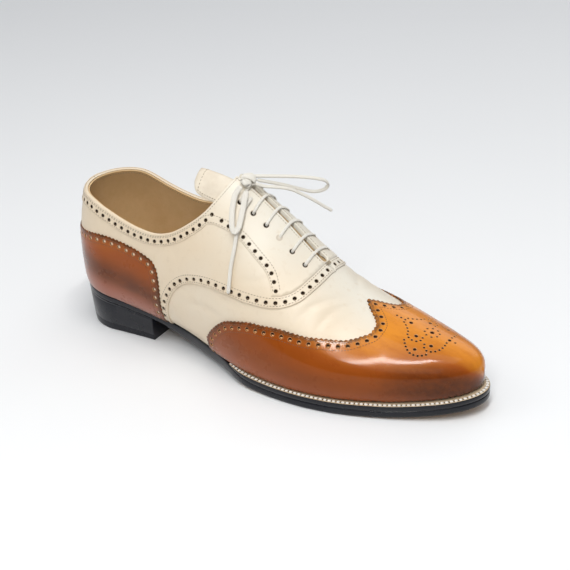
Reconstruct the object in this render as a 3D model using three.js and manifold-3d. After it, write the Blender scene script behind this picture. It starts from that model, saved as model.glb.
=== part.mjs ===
import * as THREE from "three";
import { mergeVertices } from "three/addons/utils/BufferGeometryUtils.js";
import Module from "manifold-3d";

const wasm = await Module();
wasm.setup();

// Wing-tip spectator shoe for the right foot, in millimetres.
// X runs from the heel to the toe, -Y is the outer (lateral) side and Z is up.

// Main sizes of the last.
const lastLength = 292;
const ballWidth = 90;
const instepHeight = 108;
const toeSpring = 6.5;

// Sole unit.
const heelHeight = 24.3;
const heelTaper = 3.9;
const outsoleThickness = 4.6;
const weltThickness = 3.3;
const weltWidth = 5.3;
const waistMargin = 1.7;
const waistBevel = 3;
const waistDepth = 3.2;
const edgeInset = 0.3;
const heelDraft = 0.8;
const insoleThickness = 2.5;

// Upper.
const upperWall = 2.2;
const overlayThickness = 1.2;
const collarHeight = 67.5;
const counterHeight = 44;
const throatGap = 3.4;
const tongueThickness = 1.5;
const tongueWidth = 48;

// Lacing.
const eyeletRows = 6;
const eyeletBore = 3.6;
const eyeletSetback = 14.5;
const laceWidth = 2.4;
const laceThickness = 1;
const laceCord = 2;
const laceRoom = 2.3;
const laceLift = 0.5;

// Space between pieces that meet.
const clearance = 0.3;

// Heights of the feather line, where the upper meets the sole, at the ball and at the seat.
const foreHeight = outsoleThickness + weltThickness + 2 * clearance;
const seatHeight = heelHeight + outsoleThickness + 2 * clearance;

// Stations along the last: the rounded heel turns about a point on the heel axis,
// and the toe closes from the toe start to the tip.
const heelStart = -0.062;
const heelAxisShare = 0.1164;
const toeStartShare = 0.6233;
const heelAxis = 0.378 * ballWidth;

// Cross-sections of the last, from the back of the heel to the tip of the toe.
// at: share of lastLength.
// footLat, footMed: feather line from the middle, share of ballWidth.
// swellLat, swellMed: widest line from the middle, share of ballWidth.
// pitch: share of the rise from ball to seat. spring: share of toeSpring.
// swellUp, crestUp: height over the feather line, share of instepHeight.
// lean, centre: shift of the crest and of the whole section, share of ballWidth.
// fullLat, fullMed: roundness of each side, where 2 is an ellipse.
const sectionColumns = [
  "at", "footLat", "footMed", "swellLat", "swellMed", "pitch", "spring",
  "swellUp", "crestUp", "lean", "centre", "fullLat", "fullMed",
];
const sections = table(sectionColumns, [
  [-0.062, 0.372, 0.372, 0.394, 0.394, 1.0, 0, 0.24, 0.94, 0, 0, 2.1, 2.1],
  [0.027, 0.356, 0.352, 0.383, 0.383, 0.967, 0, 0.24, 0.94, 0, 0, 2.1, 2.1],
  [0.116, 0.328, 0.328, 0.367, 0.367, 0.857, 0, 0.24, 0.94, 0, 0, 2.1, 2.1],
  [0.219, 0.311, 0.3, 0.378, 0.367, 0.657, 0, 0.231, 0.979, 0, 0, 1.9, 1.9],
  [0.325, 0.322, 0.246, 0.406, 0.352, 0.395, 0, 0.222, 1.011, 0.011, 0, 1.75, 1.75],
  [0.411, 0.394, 0.246, 0.456, 0.361, 0.214, 0, 0.204, 1.0, 0.022, 0, 1.7, 1.7],
  [0.514, 0.489, 0.322, 0.528, 0.417, 0.071, 0, 0.167, 0.843, 0.033, 0.003, 1.7, 1.7],
  [0.616, 0.522, 0.417, 0.556, 0.467, 0, 0, 0.148, 0.624, 0.033, 0.009, 1.8, 1.75],
  [0.719, 0.517, 0.478, 0.544, 0.502, 0, 0, 0.139, 0.43, 0.033, 0.014, 2.0, 1.85],
  [0.822, 0.483, 0.447, 0.506, 0.471, 0, 0.14, 0.13, 0.339, 0.022, 0.02, 2.15, 2.0],
  [0.925, 0.45, 0.4, 0.472, 0.421, 0, 0.54, 0.12, 0.292, 0.011, 0.024, 2.25, 2.1],
  [1.0, 0.444, 0.39, 0.467, 0.41, 0, 1.0, 0.111, 0.287, 0, 0.028, 2.25, 2.15],
]);

// Top line of the upper, from the back to the throat.
// rise: share of collarHeight over the feather line. crest: how far it takes the crest's height.
const collarLine = table(["at", "rise", "crest"], [
  [0.01, 1.01, 0],
  [0.045, 1.015, 0],
  [0.084, 1.013, 0],
  [0.116, 0.982, 0],
  [0.163, 0.936, 0],
  [0.211, 0.917, 0],
  [0.257, 0.938, 0],
  [0.3, 1.02, 0],
  [0.349, 1.02, 0.282],
  [0.38, 1.02, 0.519],
  [0.399, 1.02, 0.756],
  [0.409, 1.02, 0.918],
  [0.417, 1.02, 1.08],
]);

// Front and top edge of the heel counter. rise: share of counterHeight over the feather line.
const counterLine = table(["at", "rise"], [
  [0.274, -0.3],
  [0.274, 0.42],
  [0.274, 0.645],
  [0.271, 0.81],
  [0.265, 0.945],
  [0.249, 1.03],
  [0.219, 1.075],
  [0.188, 1.095],
  [0.142, 1.1],
  [0.106, 1.085],
  [0.062, 1.02],
  [0, 0.95],
  [-0.1, 0.9],
]);

// Front and lower edge of the quarters. rise: share of instepHeight over the feather line.
const quarterLine = table(["at", "rise"], [
  [0.29, -0.1],
  [0.288, 0.08],
  [0.291, 0.14],
  [0.3, 0.21],
  [0.312, 0.275],
  [0.33, 0.335],
  [0.35, 0.378],
  [0.376, 0.41],
  [0.402, 0.43],
  [0.44, 0.441],
  [0.48, 0.443],
  [0.52, 0.442],
  [0.565, 0.444],
  [0.59, 0.452],
  [0.61, 0.466],
  [0.628, 0.488],
  [0.64, 0.52],
  [0.648, 0.555],
  [0.652, 0.75],
]);

// Rear edge of the winged toe cap. up: share of the way from feather line to crest.
const wingLine = table(["up", "at"], [
  [0, 0.409],
  [0.1, 0.408],
  [0.133, 0.415],
  [0.2, 0.436],
  [0.267, 0.465],
  [0.317, 0.504],
  [0.35, 0.534],
  [0.375, 0.564],
  [0.408, 0.598],
  [0.442, 0.663],
  [0.48, 0.699],
  [0.53, 0.738],
  [0.61, 0.763],
  [0.69, 0.777],
  [0.77, 0.777],
  [0.85, 0.765],
  [0.93, 0.742],
  [1.0, 0.725],
]);

// Half width of the tongue, share of tongueWidth.
const tongueLine = table(["at", "half"], [
  [0.322, 0.3],
  [0.327, 0.39],
  [0.337, 0.455],
  [0.36, 0.49],
  [0.42, 0.5],
  [0.5, 0.46],
  [0.58, 0.4],
  [0.65, 0.34],
]);

function table(columns, rows) {
  return rows.map((row) => Object.fromEntries(columns.map((name, i) => [name, row[i]])));
}

// A smooth curve through one column of a table. A level curve never overshoots its rows.
function curveOf(rows, column, level = false, key = "at") {
  const x = rows.map((row) => row[key]);
  const y = rows.map((row) => row[column]);
  const last = x.length - 1;
  const step = [];
  const rate = [];
  for (let i = 0; i < last; i += 1) {
    step.push(x[i + 1] - x[i]);
    rate.push((y[i + 1] - y[i]) / step[i]);
  }
  const slope = [rate[0]];
  for (let i = 1; i < last; i += 1) {
    const before = rate[i - 1];
    const after = rate[i];
    if (!level) {
      slope.push((before * step[i] + after * step[i - 1]) / (step[i - 1] + step[i]));
    } else {
      slope.push(before * after > 0 ? (2 * before * after) / (before + after) : 0);
    }
  }
  slope.push(rate[last - 1]);
  return (at) => {
    let i = 0;
    while (i < last - 1 && at > x[i + 1]) i += 1;
    const s = THREE.MathUtils.clamp((at - x[i]) / step[i], 0, 1);
    const a = (1 + 2 * s) * (1 - s) ** 2;
    const b = s * (1 - s) ** 2;
    const c = s * s * (3 - 2 * s);
    const d = s * s * (s - 1);
    return a * y[i] + b * step[i] * slope[i] + c * y[i + 1] + d * step[i] * slope[i + 1];
  };
}

const shape = {};
for (const column of sectionColumns.slice(1)) {
  shape[column] = curveOf(sections, column, column === "pitch" || column === "spring");
}

// Share of the length at a station: 0 to 1 turns around the heel, 1 to 2 runs to the toe start
// and 2 to 3 closes the toe.
function shareOf(t) {
  if (t <= 1) return heelStart + (heelAxisShare - heelStart) * t;
  if (t <= 2) return heelAxisShare + (toeStartShare - heelAxisShare) * (t - 1);
  return toeStartShare + (1 - toeStartShare) * Math.sin((Math.PI / 2) * (t - 2));
}

function stationOf(share) {
  if (share <= heelAxisShare) return (share - heelStart) / (heelAxisShare - heelStart);
  if (share <= toeStartShare) return 1 + (share - heelAxisShare) / (toeStartShare - heelAxisShare);
  const s = Math.min(1, (share - toeStartShare) / (1 - toeStartShare));
  return 2 + Math.asin(s) / (Math.PI / 2);
}

function alongX(share) {
  return heelAxis + ((lastLength - heelAxis) * (share - heelAxisShare)) / (1 - heelAxisShare);
}

function featherZ(share) {
  const rise = (seatHeight - foreHeight) * shape.pitch(share);
  return foreHeight + rise + toeSpring * shape.spring(share);
}

// The crown over the rounded heel is one point, at the heel axis.
function crestZ(share) {
  const at = Math.max(share, heelAxisShare);
  return featherZ(at) + instepHeight * shape.crestUp(at);
}

function ridgeY(share) {
  return ballWidth * (shape.lean(share) + shape.centre(share));
}

function toeAcross(share) {
  const s = Math.max(0, (share - toeStartShare) / (1 - toeStartShare));
  return Math.sqrt(Math.max(0, 1 - s * s));
}

function toeUpward(share) {
  const s = Math.max(0, (share - toeStartShare) / (1 - toeStartShare));
  return Math.max(0, 1 - s ** 3.6) ** (1 / 2.3);
}

function stationX(t, grow) {
  if (t <= 2) return alongX(Math.max(shareOf(t), heelAxisShare));
  const start = alongX(toeStartShare);
  return start + (lastLength + grow - start) * Math.sin((Math.PI / 2) * (t - 2));
}

function place(t, side, out, z, shift, grow) {
  const turn = (Math.PI / 2) * Math.min(t, 1);
  return new THREE.Vector3(
    stationX(t, grow) - out * Math.cos(turn),
    side * out * Math.sin(turn) + shift,
    z,
  );
}

// A point in plan, a margin outside the feather line.
function planPoint(t, side, margin, z) {
  const share = shareOf(t);
  const half = ballWidth * shape[side < 0 ? "footLat" : "footMed"](share) + margin;
  return place(t, side, half * toeAcross(share), z, ballWidth * shape.centre(share), margin);
}

// One side of a cross-section, from the feather line to the crest, grown by an offset.
const sideCache = new Map();
function sideCurve(t, side, grow) {
  const key = `${t}/${side}/${grow}`;
  if (sideCache.has(key)) return sideCache.get(key);
  const share = shareOf(t);
  const across = toeAcross(share);
  const foot = (ballWidth * shape[side < 0 ? "footLat" : "footMed"](share) + grow) * across;
  const swell = (ballWidth * shape[side < 0 ? "swellLat" : "swellMed"](share) + grow) * across;
  const full = shape[side < 0 ? "fullLat" : "fullMed"](share);
  const footZ = featherZ(share);
  const swellZ = footZ + instepHeight * shape.swellUp(share);
  const span = 0.004;
  const slope = (crestZ(share + span) - crestZ(share - span)) / (2 * span * lastLength);
  const top = crestZ(share) + grow * Math.hypot(1, share > heelAxisShare ? slope : 0);
  const crest = swellZ + (top - swellZ) * toeUpward(share);
  const centre = ballWidth * shape.centre(share);
  const lean = ballWidth * shape.lean(share);
  const points = [];
  for (let i = 0; i <= 16; i += 1) {
    const a = ((Math.PI / 2) * i) / 16;
    const out = foot + (swell - foot) * Math.sin(a);
    const z = swellZ - (swellZ - footZ) * Math.cos(a);
    points.push(place(t, side, out, z, centre, grow));
  }
  for (let i = 1; i <= 48; i += 1) {
    const a = ((Math.PI / 2) * i) / 48;
    const out = i === 48 ? 0 : swell * Math.cos(a) ** (2 / full);
    const up = Math.sin(a) ** (2 / full);
    const z = swellZ + (crest - swellZ) * up;
    points.push(place(t, side, out, z, centre + lean * up * up, grow));
  }
  const length = [0];
  for (let i = 1; i < points.length; i += 1) {
    length.push(length[i - 1] + points[i].distanceTo(points[i - 1]));
  }
  const curve = { points, length, total: length[length.length - 1] };
  sideCache.set(key, curve);
  return curve;
}

// A point of the last: station, side, share of the way up from feather line to crest, offset.
function lastPoint(t, side, up, grow = 0) {
  const curve = sideCurve(t, side, grow);
  const goal = up * curve.total;
  let i = 1;
  while (i < curve.length.length - 1 && curve.length[i] < goal) i += 1;
  const gap = curve.length[i] - curve.length[i - 1];
  const s = gap > 0 ? THREE.MathUtils.clamp((goal - curve.length[i - 1]) / gap, 0, 1) : 0;
  return curve.points[i - 1].clone().lerp(curve.points[i], s);
}

// A point near the crest, measured across it. Minus is the lateral side.
function crestPoint(t, across, grow) {
  const side = across < 0 ? -1 : 1;
  const total = sideCurve(t, side, 0).total;
  return lastPoint(t, side, 1 - Math.abs(across) / total, grow);
}

// A point off the crest, square to the surface, with the directions along it and out of it.
function crestFrame(t, across, off) {
  const ahead = crestPoint(t + 0.01, across, 0).sub(crestPoint(t - 0.01, across, 0));
  const over = crestPoint(t, across + 0.5, 0).sub(crestPoint(t, across - 0.5, 0));
  const along = ahead.normalize();
  const normal = along.clone().cross(over).normalize();
  const point = crestPoint(t, across, 0).addScaledVector(normal, off);
  return { point, along, normal };
}

// A closed body from triangles, faces out.
function bodyOf(points, triangles) {
  const position = new Float32Array(points.flatMap((p) => [p.x, p.y, p.z]));
  const geometry = new THREE.BufferGeometry();
  geometry.setAttribute("position", new THREE.BufferAttribute(position, 3));
  geometry.setIndex(triangles.flat());
  const merged = mergeVertices(geometry, 1e-4);
  const at = merged.getAttribute("position");
  const index = merged.getIndex().array;
  const kept = [];
  let volume = 0;
  for (let i = 0; i < index.length; i += 3) {
    const [a, b, c] = [index[i], index[i + 1], index[i + 2]];
    if (a === b || b === c || a === c) continue;
    kept.push(a, b, c);
    const [p, q, r] = [a, b, c].map((k) => new THREE.Vector3().fromBufferAttribute(at, k));
    volume += p.dot(q.cross(r));
  }
  if (volume < 0) kept.reverse();
  return solidOf(at.array, kept);
}

function solidOf(positions, index) {
  const mesh = new wasm.Mesh({
    numProp: 3,
    vertProperties: new Float32Array(positions),
    triVerts: new Uint32Array(index),
  });
  mesh.merge();
  return new wasm.Manifold(mesh);
}

function solidFromGeometry(geometry) {
  const plain = geometry.clone();
  plain.deleteAttribute("normal");
  plain.deleteAttribute("uv");
  const merged = mergeVertices(plain, 1e-4);
  return solidOf(merged.getAttribute("position").array, merged.getIndex().array);
}

// Skins a row of rings. Each ring runs down one side and back up the other, so that its two
// halves pair up into the caps.
function skin(rings, capped) {
  const size = rings[0].length;
  const points = rings.flat();
  const triangles = [];
  for (let i = 0; i + 1 < rings.length; i += 1) {
    for (let j = 0; j < size; j += 1) {
      const next = (j + 1) % size;
      const [a, b] = [i * size + j, i * size + next];
      const [c, d] = [a + size, b + size];
      triangles.push([a, b, d], [a, d, c]);
    }
  }
  if (capped) {
    const far = (rings.length - 1) * size;
    for (let j = 0; j + 1 < size / 2; j += 1) {
      const [a, b, c, d] = [j, j + 1, size - 2 - j, size - 1 - j];
      triangles.push([a, c, b], [a, d, c]);
      triangles.push([far + a, far + b, far + c], [far + a, far + c, far + d]);
    }
  }
  return bodyOf(points, triangles);
}

function stations(from, to) {
  const all = [];
  for (let i = 0; i < 6; i += 1) all.push(i / 6);
  for (let i = 0; i < 11; i += 1) all.push(1 + i / 11);
  for (let i = 0; i <= 9; i += 1) all.push(2 + i / 9);
  const inside = all.filter((t) => t > from + 0.02 && t < to - 0.02);
  return [from, ...inside, to];
}

const rungs = [0, 0.03, 0.12, 0.24, 0.36, 0.48, 0.6, 0.72, 0.83, 0.92];

// The whole last as a closed form, grown by an offset and reaching a drop below the feather line.
function lastForm(grow, drop) {
  const rings = stations(0, 3).map((t) => {
    const lateral = rungs.map((up) => lastPoint(t, -1, up, grow));
    const medial = rungs.map((up) => lastPoint(t, 1, up, grow));
    const ring = [...lateral, lastPoint(t, 1, 1, grow), ...medial.reverse()];
    if (drop > 0) {
      ring.unshift(ring[0].clone().setZ(ring[0].z - drop));
      ring.push(ring[ring.length - 1].clone().setZ(ring[0].z));
    }
    return ring;
  });
  return skin(rings, false);
}

// A cutter with a side view outline, through the whole width.
function sidePrism(outline) {
  const width = 3 * ballWidth;
  const geometry = new THREE.ExtrudeGeometry(new THREE.Shape(outline), {
    depth: width,
    bevelEnabled: false,
  });
  geometry.rotateX(Math.PI / 2);
  geometry.translate(0, width / 2, 0);
  return solidFromGeometry(geometry);
}

// A cutter with a plan outline, from one height to another.
function planPrism(outline, low, high) {
  const geometry = new THREE.ExtrudeGeometry(new THREE.Shape(outline), {
    depth: high - low,
    bevelEnabled: false,
  });
  geometry.translate(0, 0, low);
  return solidFromGeometry(geometry);
}

function smoothOutline(points, count) {
  const curve = new THREE.CatmullRomCurve3(
    points.map((p) => new THREE.Vector3(p.x, p.y, 0)),
    false,
    "centripetal",
  );
  return curve.getSpacedPoints(count).map((p) => new THREE.Vector2(p.x, p.y));
}

const farBack = -lastLength;
const farUp = 3 * instepHeight;
const farDown = -instepHeight;

function collarCutter() {
  const edge = collarLine.map((row) => {
    const low = row.rise * collarHeight;
    const high = crestZ(row.at) - featherZ(row.at);
    const z = featherZ(row.at) + (1 - row.crest) * low + row.crest * high;
    return new THREE.Vector2(alongX(row.at), z);
  });
  const line = smoothOutline(edge, 26);
  const first = line[0];
  const end = line[line.length - 1];
  return sidePrism([
    new THREE.Vector2(farBack, first.y),
    ...line,
    new THREE.Vector2(end.x, farUp),
    new THREE.Vector2(farBack, farUp),
  ]);
}

function counterCutter(grow) {
  const edge = counterLine.map((row) => new THREE.Vector2(
    alongX(row.at) + grow,
    featherZ(row.at) + row.rise * counterHeight + grow,
  ));
  return sidePrism([
    ...smoothOutline(edge, 20),
    new THREE.Vector2(farBack, edge[edge.length - 1].y),
    new THREE.Vector2(farBack, farDown),
    new THREE.Vector2(edge[0].x, farDown),
  ]);
}

function quarterCutter() {
  const edge = quarterLine.map((row) => new THREE.Vector2(
    alongX(row.at),
    featherZ(row.at) + row.rise * instepHeight,
  ));
  const end = edge[edge.length - 1];
  return sidePrism([
    ...smoothOutline(edge, 22),
    new THREE.Vector2(end.x, farUp),
    new THREE.Vector2(farBack, farUp),
    new THREE.Vector2(farBack, farDown),
    new THREE.Vector2(edge[0].x, farDown),
  ]);
}

// Everything ahead of the wing's rear edge: a tunnel whose rear wall stands on the last.
function wingCutter() {
  const edgeAt = curveOf(wingLine, "at", true, "up");
  const rim = (grow) => {
    const half = (side) => {
      const line = [];
      for (let i = 0; i < 20; i += 1) {
        const up = i / 20;
        line.push(lastPoint(stationOf(edgeAt(up)), side, up, grow));
      }
      return [line[0].clone().setZ(farDown), ...line];
    };
    const crest = lastPoint(stationOf(edgeAt(1)), 1, 1, grow);
    return [...half(-1), crest, crest.clone(), ...half(1).reverse()];
  };
  const inner = rim(-upperWall);
  const outer = rim(ballWidth / 4);
  const front = outer.map((p) => p.clone().setX(2 * lastLength));
  return skin([inner, outer, front], true);
}

// The slit between the facings, along the crest, with a round end.
const throatStart = 0.39;
const throatEnd = 0.62;
function throatCutter() {
  const half = (share) => {
    const s = (share - throatStart) / (throatEnd - throatStart);
    return throatGap * (0.4 + 0.25 * s);
  };
  const near = [];
  const far = [];
  for (let i = 0; i <= 8; i += 1) {
    const share = throatStart + ((throatEnd - throatStart) * i) / 8;
    near.push(new THREE.Vector2(alongX(share), ridgeY(share) - half(share)));
    far.push(new THREE.Vector2(alongX(share), ridgeY(share) + half(share)));
  }
  const round = [];
  for (let i = 1; i < 6; i += 1) {
    const a = -Math.PI / 2 + (Math.PI * i) / 6;
    round.push(new THREE.Vector2(
      alongX(throatEnd) + half(throatEnd) * Math.cos(a),
      ridgeY(throatEnd) + half(throatEnd) * Math.sin(a),
    ));
  }
  return planPrism([...near, ...round, ...far.reverse()], foreHeight + insoleThickness, farUp);
}

// Splits the quarters along the crest and the back seam.
function halfCutter(side) {
  const line = [new THREE.Vector2(farBack, side * clearance * 0.5)];
  for (let i = 0; i <= 12; i += 1) {
    const share = heelAxisShare + ((0.75 - heelAxisShare) * i) / 12;
    line.push(new THREE.Vector2(alongX(share), ridgeY(share) + side * clearance * 0.5));
  }
  const end = line[line.length - 1];
  line.push(new THREE.Vector2(end.x, side * 2 * ballWidth));
  line.push(new THREE.Vector2(farBack, side * 2 * ballWidth));
  return planPrism(side < 0 ? line.reverse() : line, farDown, farUp);
}

// Eyelets, in rows from the top of the throat down.
const firstEyelet = 0.445;
const lastEyelet = 0.602;
const overlayTop = clearance + overlayThickness;
const eyelets = [];
for (let i = 0; i < eyeletRows; i += 1) {
  const s = i / (eyeletRows - 1);
  eyelets.push(stationOf(firstEyelet + (lastEyelet - firstEyelet) * s));
}

function eyeletCutter(t, side) {
  const { point, normal } = crestFrame(t, side * eyeletSetback, 0);
  const depth = 2 * (upperWall + overlayTop);
  const geometry = new THREE.CylinderGeometry(eyeletBore / 2, eyeletBore / 2, 2 * depth, 8);
  const turn = new THREE.Quaternion().setFromUnitVectors(new THREE.Vector3(0, 1, 0), normal);
  geometry.applyQuaternion(turn);
  geometry.translate(point.x, point.y, point.z);
  return solidFromGeometry(geometry);
}

// Margin of the sole outside the feather line: close at the heel and waist, wide at the welt.
function soleMargin(share) {
  return waistMargin + (weltWidth - waistMargin) * THREE.MathUtils.smoothstep(share, 0.4, 0.53);
}

// Depth that the welt takes between upper and outsole, and what is left of it at its thin ends.
const weltFrom = 0.47;
function weltDepth(share) {
  return (weltThickness + clearance) * THREE.MathUtils.smoothstep(share, 0.44, 0.54);
}

function outsoleTop(share) {
  return featherZ(share) - clearance - weltDepth(share);
}

function waistShape(share) {
  const rise = THREE.MathUtils.smoothstep(share, 0.235, 0.33);
  return rise * (1 - THREE.MathUtils.smoothstep(share, 0.4, 0.56));
}

function outsoleBody() {
  const rings = stations(0, 3).map((t) => {
    const share = shareOf(t);
    const margin = soleMargin(share);
    const top = outsoleTop(share);
    const waist = waistShape(share);
    const low = top - outsoleThickness - waistDepth * waist;
    const bevel = waistBevel * waist;
    const half = (side) => [
      planPoint(t, side, margin - edgeInset, top),
      planPoint(t, side, margin, top - outsoleThickness * 0.35),
      planPoint(t, side, margin - bevel * 0.4, low + outsoleThickness * 0.3),
      planPoint(t, side, margin - bevel - edgeInset, low),
    ];
    const lateral = half(-1);
    const medial = half(1);
    const keel = lateral[3].clone().lerp(medial[3], 0.5);
    keel.z -= waistBevel * 0.4 * waist;
    const deck = lateral[0].clone().lerp(medial[0], 0.5);
    return [deck, ...lateral, keel, ...medial.reverse()];
  });
  return skin(rings, false);
}

// A strip around the forepart, from the lateral waist past the toe to the medial waist.
function weltBody() {
  const ring = (t, side) => {
    const share = shareOf(t);
    const margin = soleMargin(share);
    const top = featherZ(share) - clearance;
    const low = outsoleTop(share) + clearance;
    return [
      planPoint(t, side, margin - edgeInset, top),
      planPoint(t, side, margin, (top + low) / 2),
      planPoint(t, side, margin - edgeInset, low),
      planPoint(t, side, -upperWall, low),
      planPoint(t, side, -upperWall, (top + low) / 2),
      planPoint(t, side, -upperWall, top),
    ];
  };
  const path = stations(stationOf(weltFrom), 3);
  const lateral = path.map((t) => ring(t, -1));
  const medial = path.slice(0, -1).reverse().map((t) => ring(t, 1));
  return skin([...lateral, ...medial], true);
}

const breastShare = 0.226;
function heelBody() {
  const rings = stations(0, stationOf(breastShare)).map((t) => {
    const share = shareOf(t);
    const margin = soleMargin(share) - edgeInset;
    const top = outsoleTop(share) - outsoleThickness - clearance;
    const taper = heelDraft + heelTaper * Math.max(0, 1 - t) ** 2;
    const half = (side) => [
      planPoint(t, side, margin, top),
      planPoint(t, side, margin - taper * 0.6, top * 0.5),
      planPoint(t, side, margin - taper, 0),
    ];
    return [...half(-1), ...half(1).reverse()];
  });
  return skin(rings, true);
}

function insoleBody() {
  const margin = -(upperWall + clearance);
  const rings = stations(0, 3).map((t) => {
    const share = shareOf(t);
    const top = featherZ(share) + insoleThickness;
    const low = featherZ(share) - weltDepth(share);
    const half = (side) => [
      planPoint(t, side, margin, top),
      planPoint(t, side, margin, low),
    ];
    return [...half(-1), ...half(1).reverse()];
  });
  return skin(rings, false);
}

const tongueTop = -(upperWall + laceRoom);
function tongueBody() {
  const half = curveOf(tongueLine, "half", true);
  const from = tongueLine[0].at;
  const to = tongueLine[tongueLine.length - 1].at;
  const rings = [];
  for (let i = 0; i <= 13; i += 1) {
    const s = i / 13;
    const share = from + (to - from) * s ** 1.4;
    const t = stationOf(share);
    const width = tongueWidth * half(share);
    const outer = [];
    const inner = [];
    for (let j = 0; j <= 8; j += 1) {
      const across = width * (-1 + j / 4);
      outer.push(crestPoint(t, across, tongueTop));
      inner.push(crestPoint(t, across, tongueTop - tongueThickness));
    }
    rings.push([...outer, ...inner.reverse()]);
  }
  return skin(rings, true);
}

// Lace: a bar over each row, legs through its eyelets and runs under the facings between rows.
const barTop = overlayTop + laceLift + laceThickness / 2;
const runUnder = -(upperWall + laceRoom / 2);
function barBody(t) {
  const rings = [];
  for (let j = 0; j <= 6; j += 1) {
    const across = eyeletSetback * (-1 + j / 3);
    const { point, along, normal } = crestFrame(t, across, barTop);
    const wide = along.multiplyScalar(laceWidth / 2);
    const thick = normal.multiplyScalar(laceThickness / 2);
    rings.push([
      point.clone().sub(wide).add(thick),
      point.clone().sub(wide).sub(thick),
      point.clone().add(wide).sub(thick),
      point.clone().add(wide).add(thick),
    ]);
  }
  return skin(rings, true);
}

function slabBody(from, to, flat, width, thickness) {
  const along = to.clone().sub(from);
  const length = along.length() + thickness;
  along.normalize();
  const side = flat.clone().cross(along).normalize();
  const normal = along.clone().cross(side).normalize();
  const geometry = new THREE.BoxGeometry(length, width, thickness);
  const turn = new THREE.Matrix4().makeBasis(along, side, normal);
  turn.setPosition(from.clone().add(to).multiplyScalar(0.5));
  geometry.applyMatrix4(turn);
  return solidFromGeometry(geometry);
}

function laceBody() {
  let lace = null;
  const join = (body) => {
    lace = lace ? lace.add(body) : body;
  };
  eyelets.forEach((t, i) => {
    join(barBody(t));
    for (const side of [-1, 1]) {
      const top = crestFrame(t, side * eyeletSetback, barTop);
      const low = crestFrame(t, side * eyeletSetback, runUnder);
      const across = top.along.cross(top.normal);
      join(slabBody(top.point, low.point, across, laceWidth, laceThickness));
    }
    if (i + 1 < eyelets.length) {
      const side = i % 2 === 0 ? 1 : -1;
      const here = crestFrame(t, side * eyeletSetback, runUnder);
      const next = crestFrame(eyelets[i + 1], side * eyeletSetback, runUnder);
      join(slabBody(here.point, next.point, here.normal, laceWidth, laceThickness));
    }
  });
  return lace;
}

// Bow: a flat knot over the top row, with a loop and an end on each side.
const knotShare = 0.437;
const knotAcross = -1.5;
const knotLength = 9;
const knotHeight = 4;
const knotOff = barTop + laceThickness / 2 + clearance + knotHeight / 2;
const knot = crestFrame(stationOf(knotShare), knotAcross, knotOff);

function knotBody() {
  const geometry = new THREE.SphereGeometry(0.5, 10, 6);
  geometry.scale(knotLength, knotLength * 1.1, knotHeight);
  const over = knot.normal.clone().cross(knot.along).normalize();
  geometry.applyMatrix4(new THREE.Matrix4().makeBasis(knot.along, over, knot.normal));
  geometry.translate(knot.point.x, knot.point.y, knot.point.z);
  return solidFromGeometry(geometry);
}

function cordBody(points, steps) {
  const section = [];
  for (let i = 0; i < 8; i += 1) {
    const a = (Math.PI * (2 * i + 1)) / 8;
    section.push(new THREE.Vector2(Math.cos(a), Math.sin(a)).multiplyScalar(laceCord / 2));
  }
  const geometry = new THREE.ExtrudeGeometry(new THREE.Shape(section), {
    steps,
    bevelEnabled: false,
    extrudePath: new THREE.CatmullRomCurve3(points, false, "centripetal"),
  });
  return solidFromGeometry(geometry);
}

// Cords that lie on the lateral facing. across: millimetres from the crest. off: over the last.
const lyingCord = (rows) => table(["at", "across", "off"], rows).map((row) => (
  crestFrame(stationOf(row.at), -row.across, row.off).point
));

// Cords that stand away on the medial side, in millimetres from the knot.
const freeCord = (rows) => rows.map(([x, y, z]) => knot.point.clone().add(
  new THREE.Vector3(x, y, z),
));

const loopLateral = lyingCord([
  [0.434, 8, 6.4],
  [0.432, 13, 5.6],
  [0.437, 20, 5.4],
  [0.445, 27, 5.4],
  [0.452, 31, 5.4],
  [0.459, 32, 5.4],
  [0.463, 29, 5.4],
  [0.46, 22, 5.4],
  [0.453, 14, 5.8],
  [0.447, 8.4, 6.6],
]);
const endLateral = lyingCord([
  [0.46, 8, 3.4],
  [0.458, 14, 3.2],
  [0.459, 24, 3.1],
  [0.463, 33, 3.1],
  [0.467, 42, 3.1],
  [0.469, 51, 3.1],
  [0.472, 58, 3.1],
  [0.475, 67, 3.1],
]);
const loopMedial = freeCord([
  [0.9, 5.4, 0.4],
  [9, 14, -1.5],
  [20, 25, -4],
  [29, 33, -6.5],
  [33.5, 37.5, -9],
  [34.3, 40, -12.6],
  [33, 39, -15.3],
  [30, 36, -16.5],
  [26, 32, -15.9],
  [20, 25, -12],
  [14, 18, -8],
  [2.7, 5.5, -2],
]);
const endMedial = freeCord([
  [4.1, 1.2, -2.5],
  [8.5, 5.5, -5.2],
  [14, 10.5, -6.6],
  [20, 17, -9.5],
  [26, 23, -14.6],
  [32, 28, -20],
  [36, 32, -24.5],
  [40, 35, -28],
]);

function geometryOf(solid) {
  const mesh = solid.getMesh();
  const geometry = new THREE.BufferGeometry();
  const position = new Float32Array(mesh.vertProperties);
  geometry.setAttribute("position", new THREE.BufferAttribute(position, 3));
  geometry.setIndex(new THREE.BufferAttribute(new Uint32Array(mesh.triVerts), 1));
  geometry.computeVertexNormals();
  return geometry;
}

const cream = { color: 0xe9e2d3, roughness: 0.45, metalness: 0 };
const tan = { color: 0xb5652a, roughness: 0.25, metalness: 0 };
const black = { color: 0x191a20, roughness: 0.3, metalness: 0 };
const natural = { color: 0xd2b48a, roughness: 0.6, metalness: 0 };
const cotton = { color: 0xe6e2d8, roughness: 0.9, metalness: 0 };

const shoe = new THREE.Group();
function addPiece(name, solid, finish) {
  const mesh = new THREE.Mesh(geometryOf(solid), new THREE.MeshStandardMaterial(finish));
  mesh.name = name;
  shoe.add(mesh);
  return mesh;
}

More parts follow.
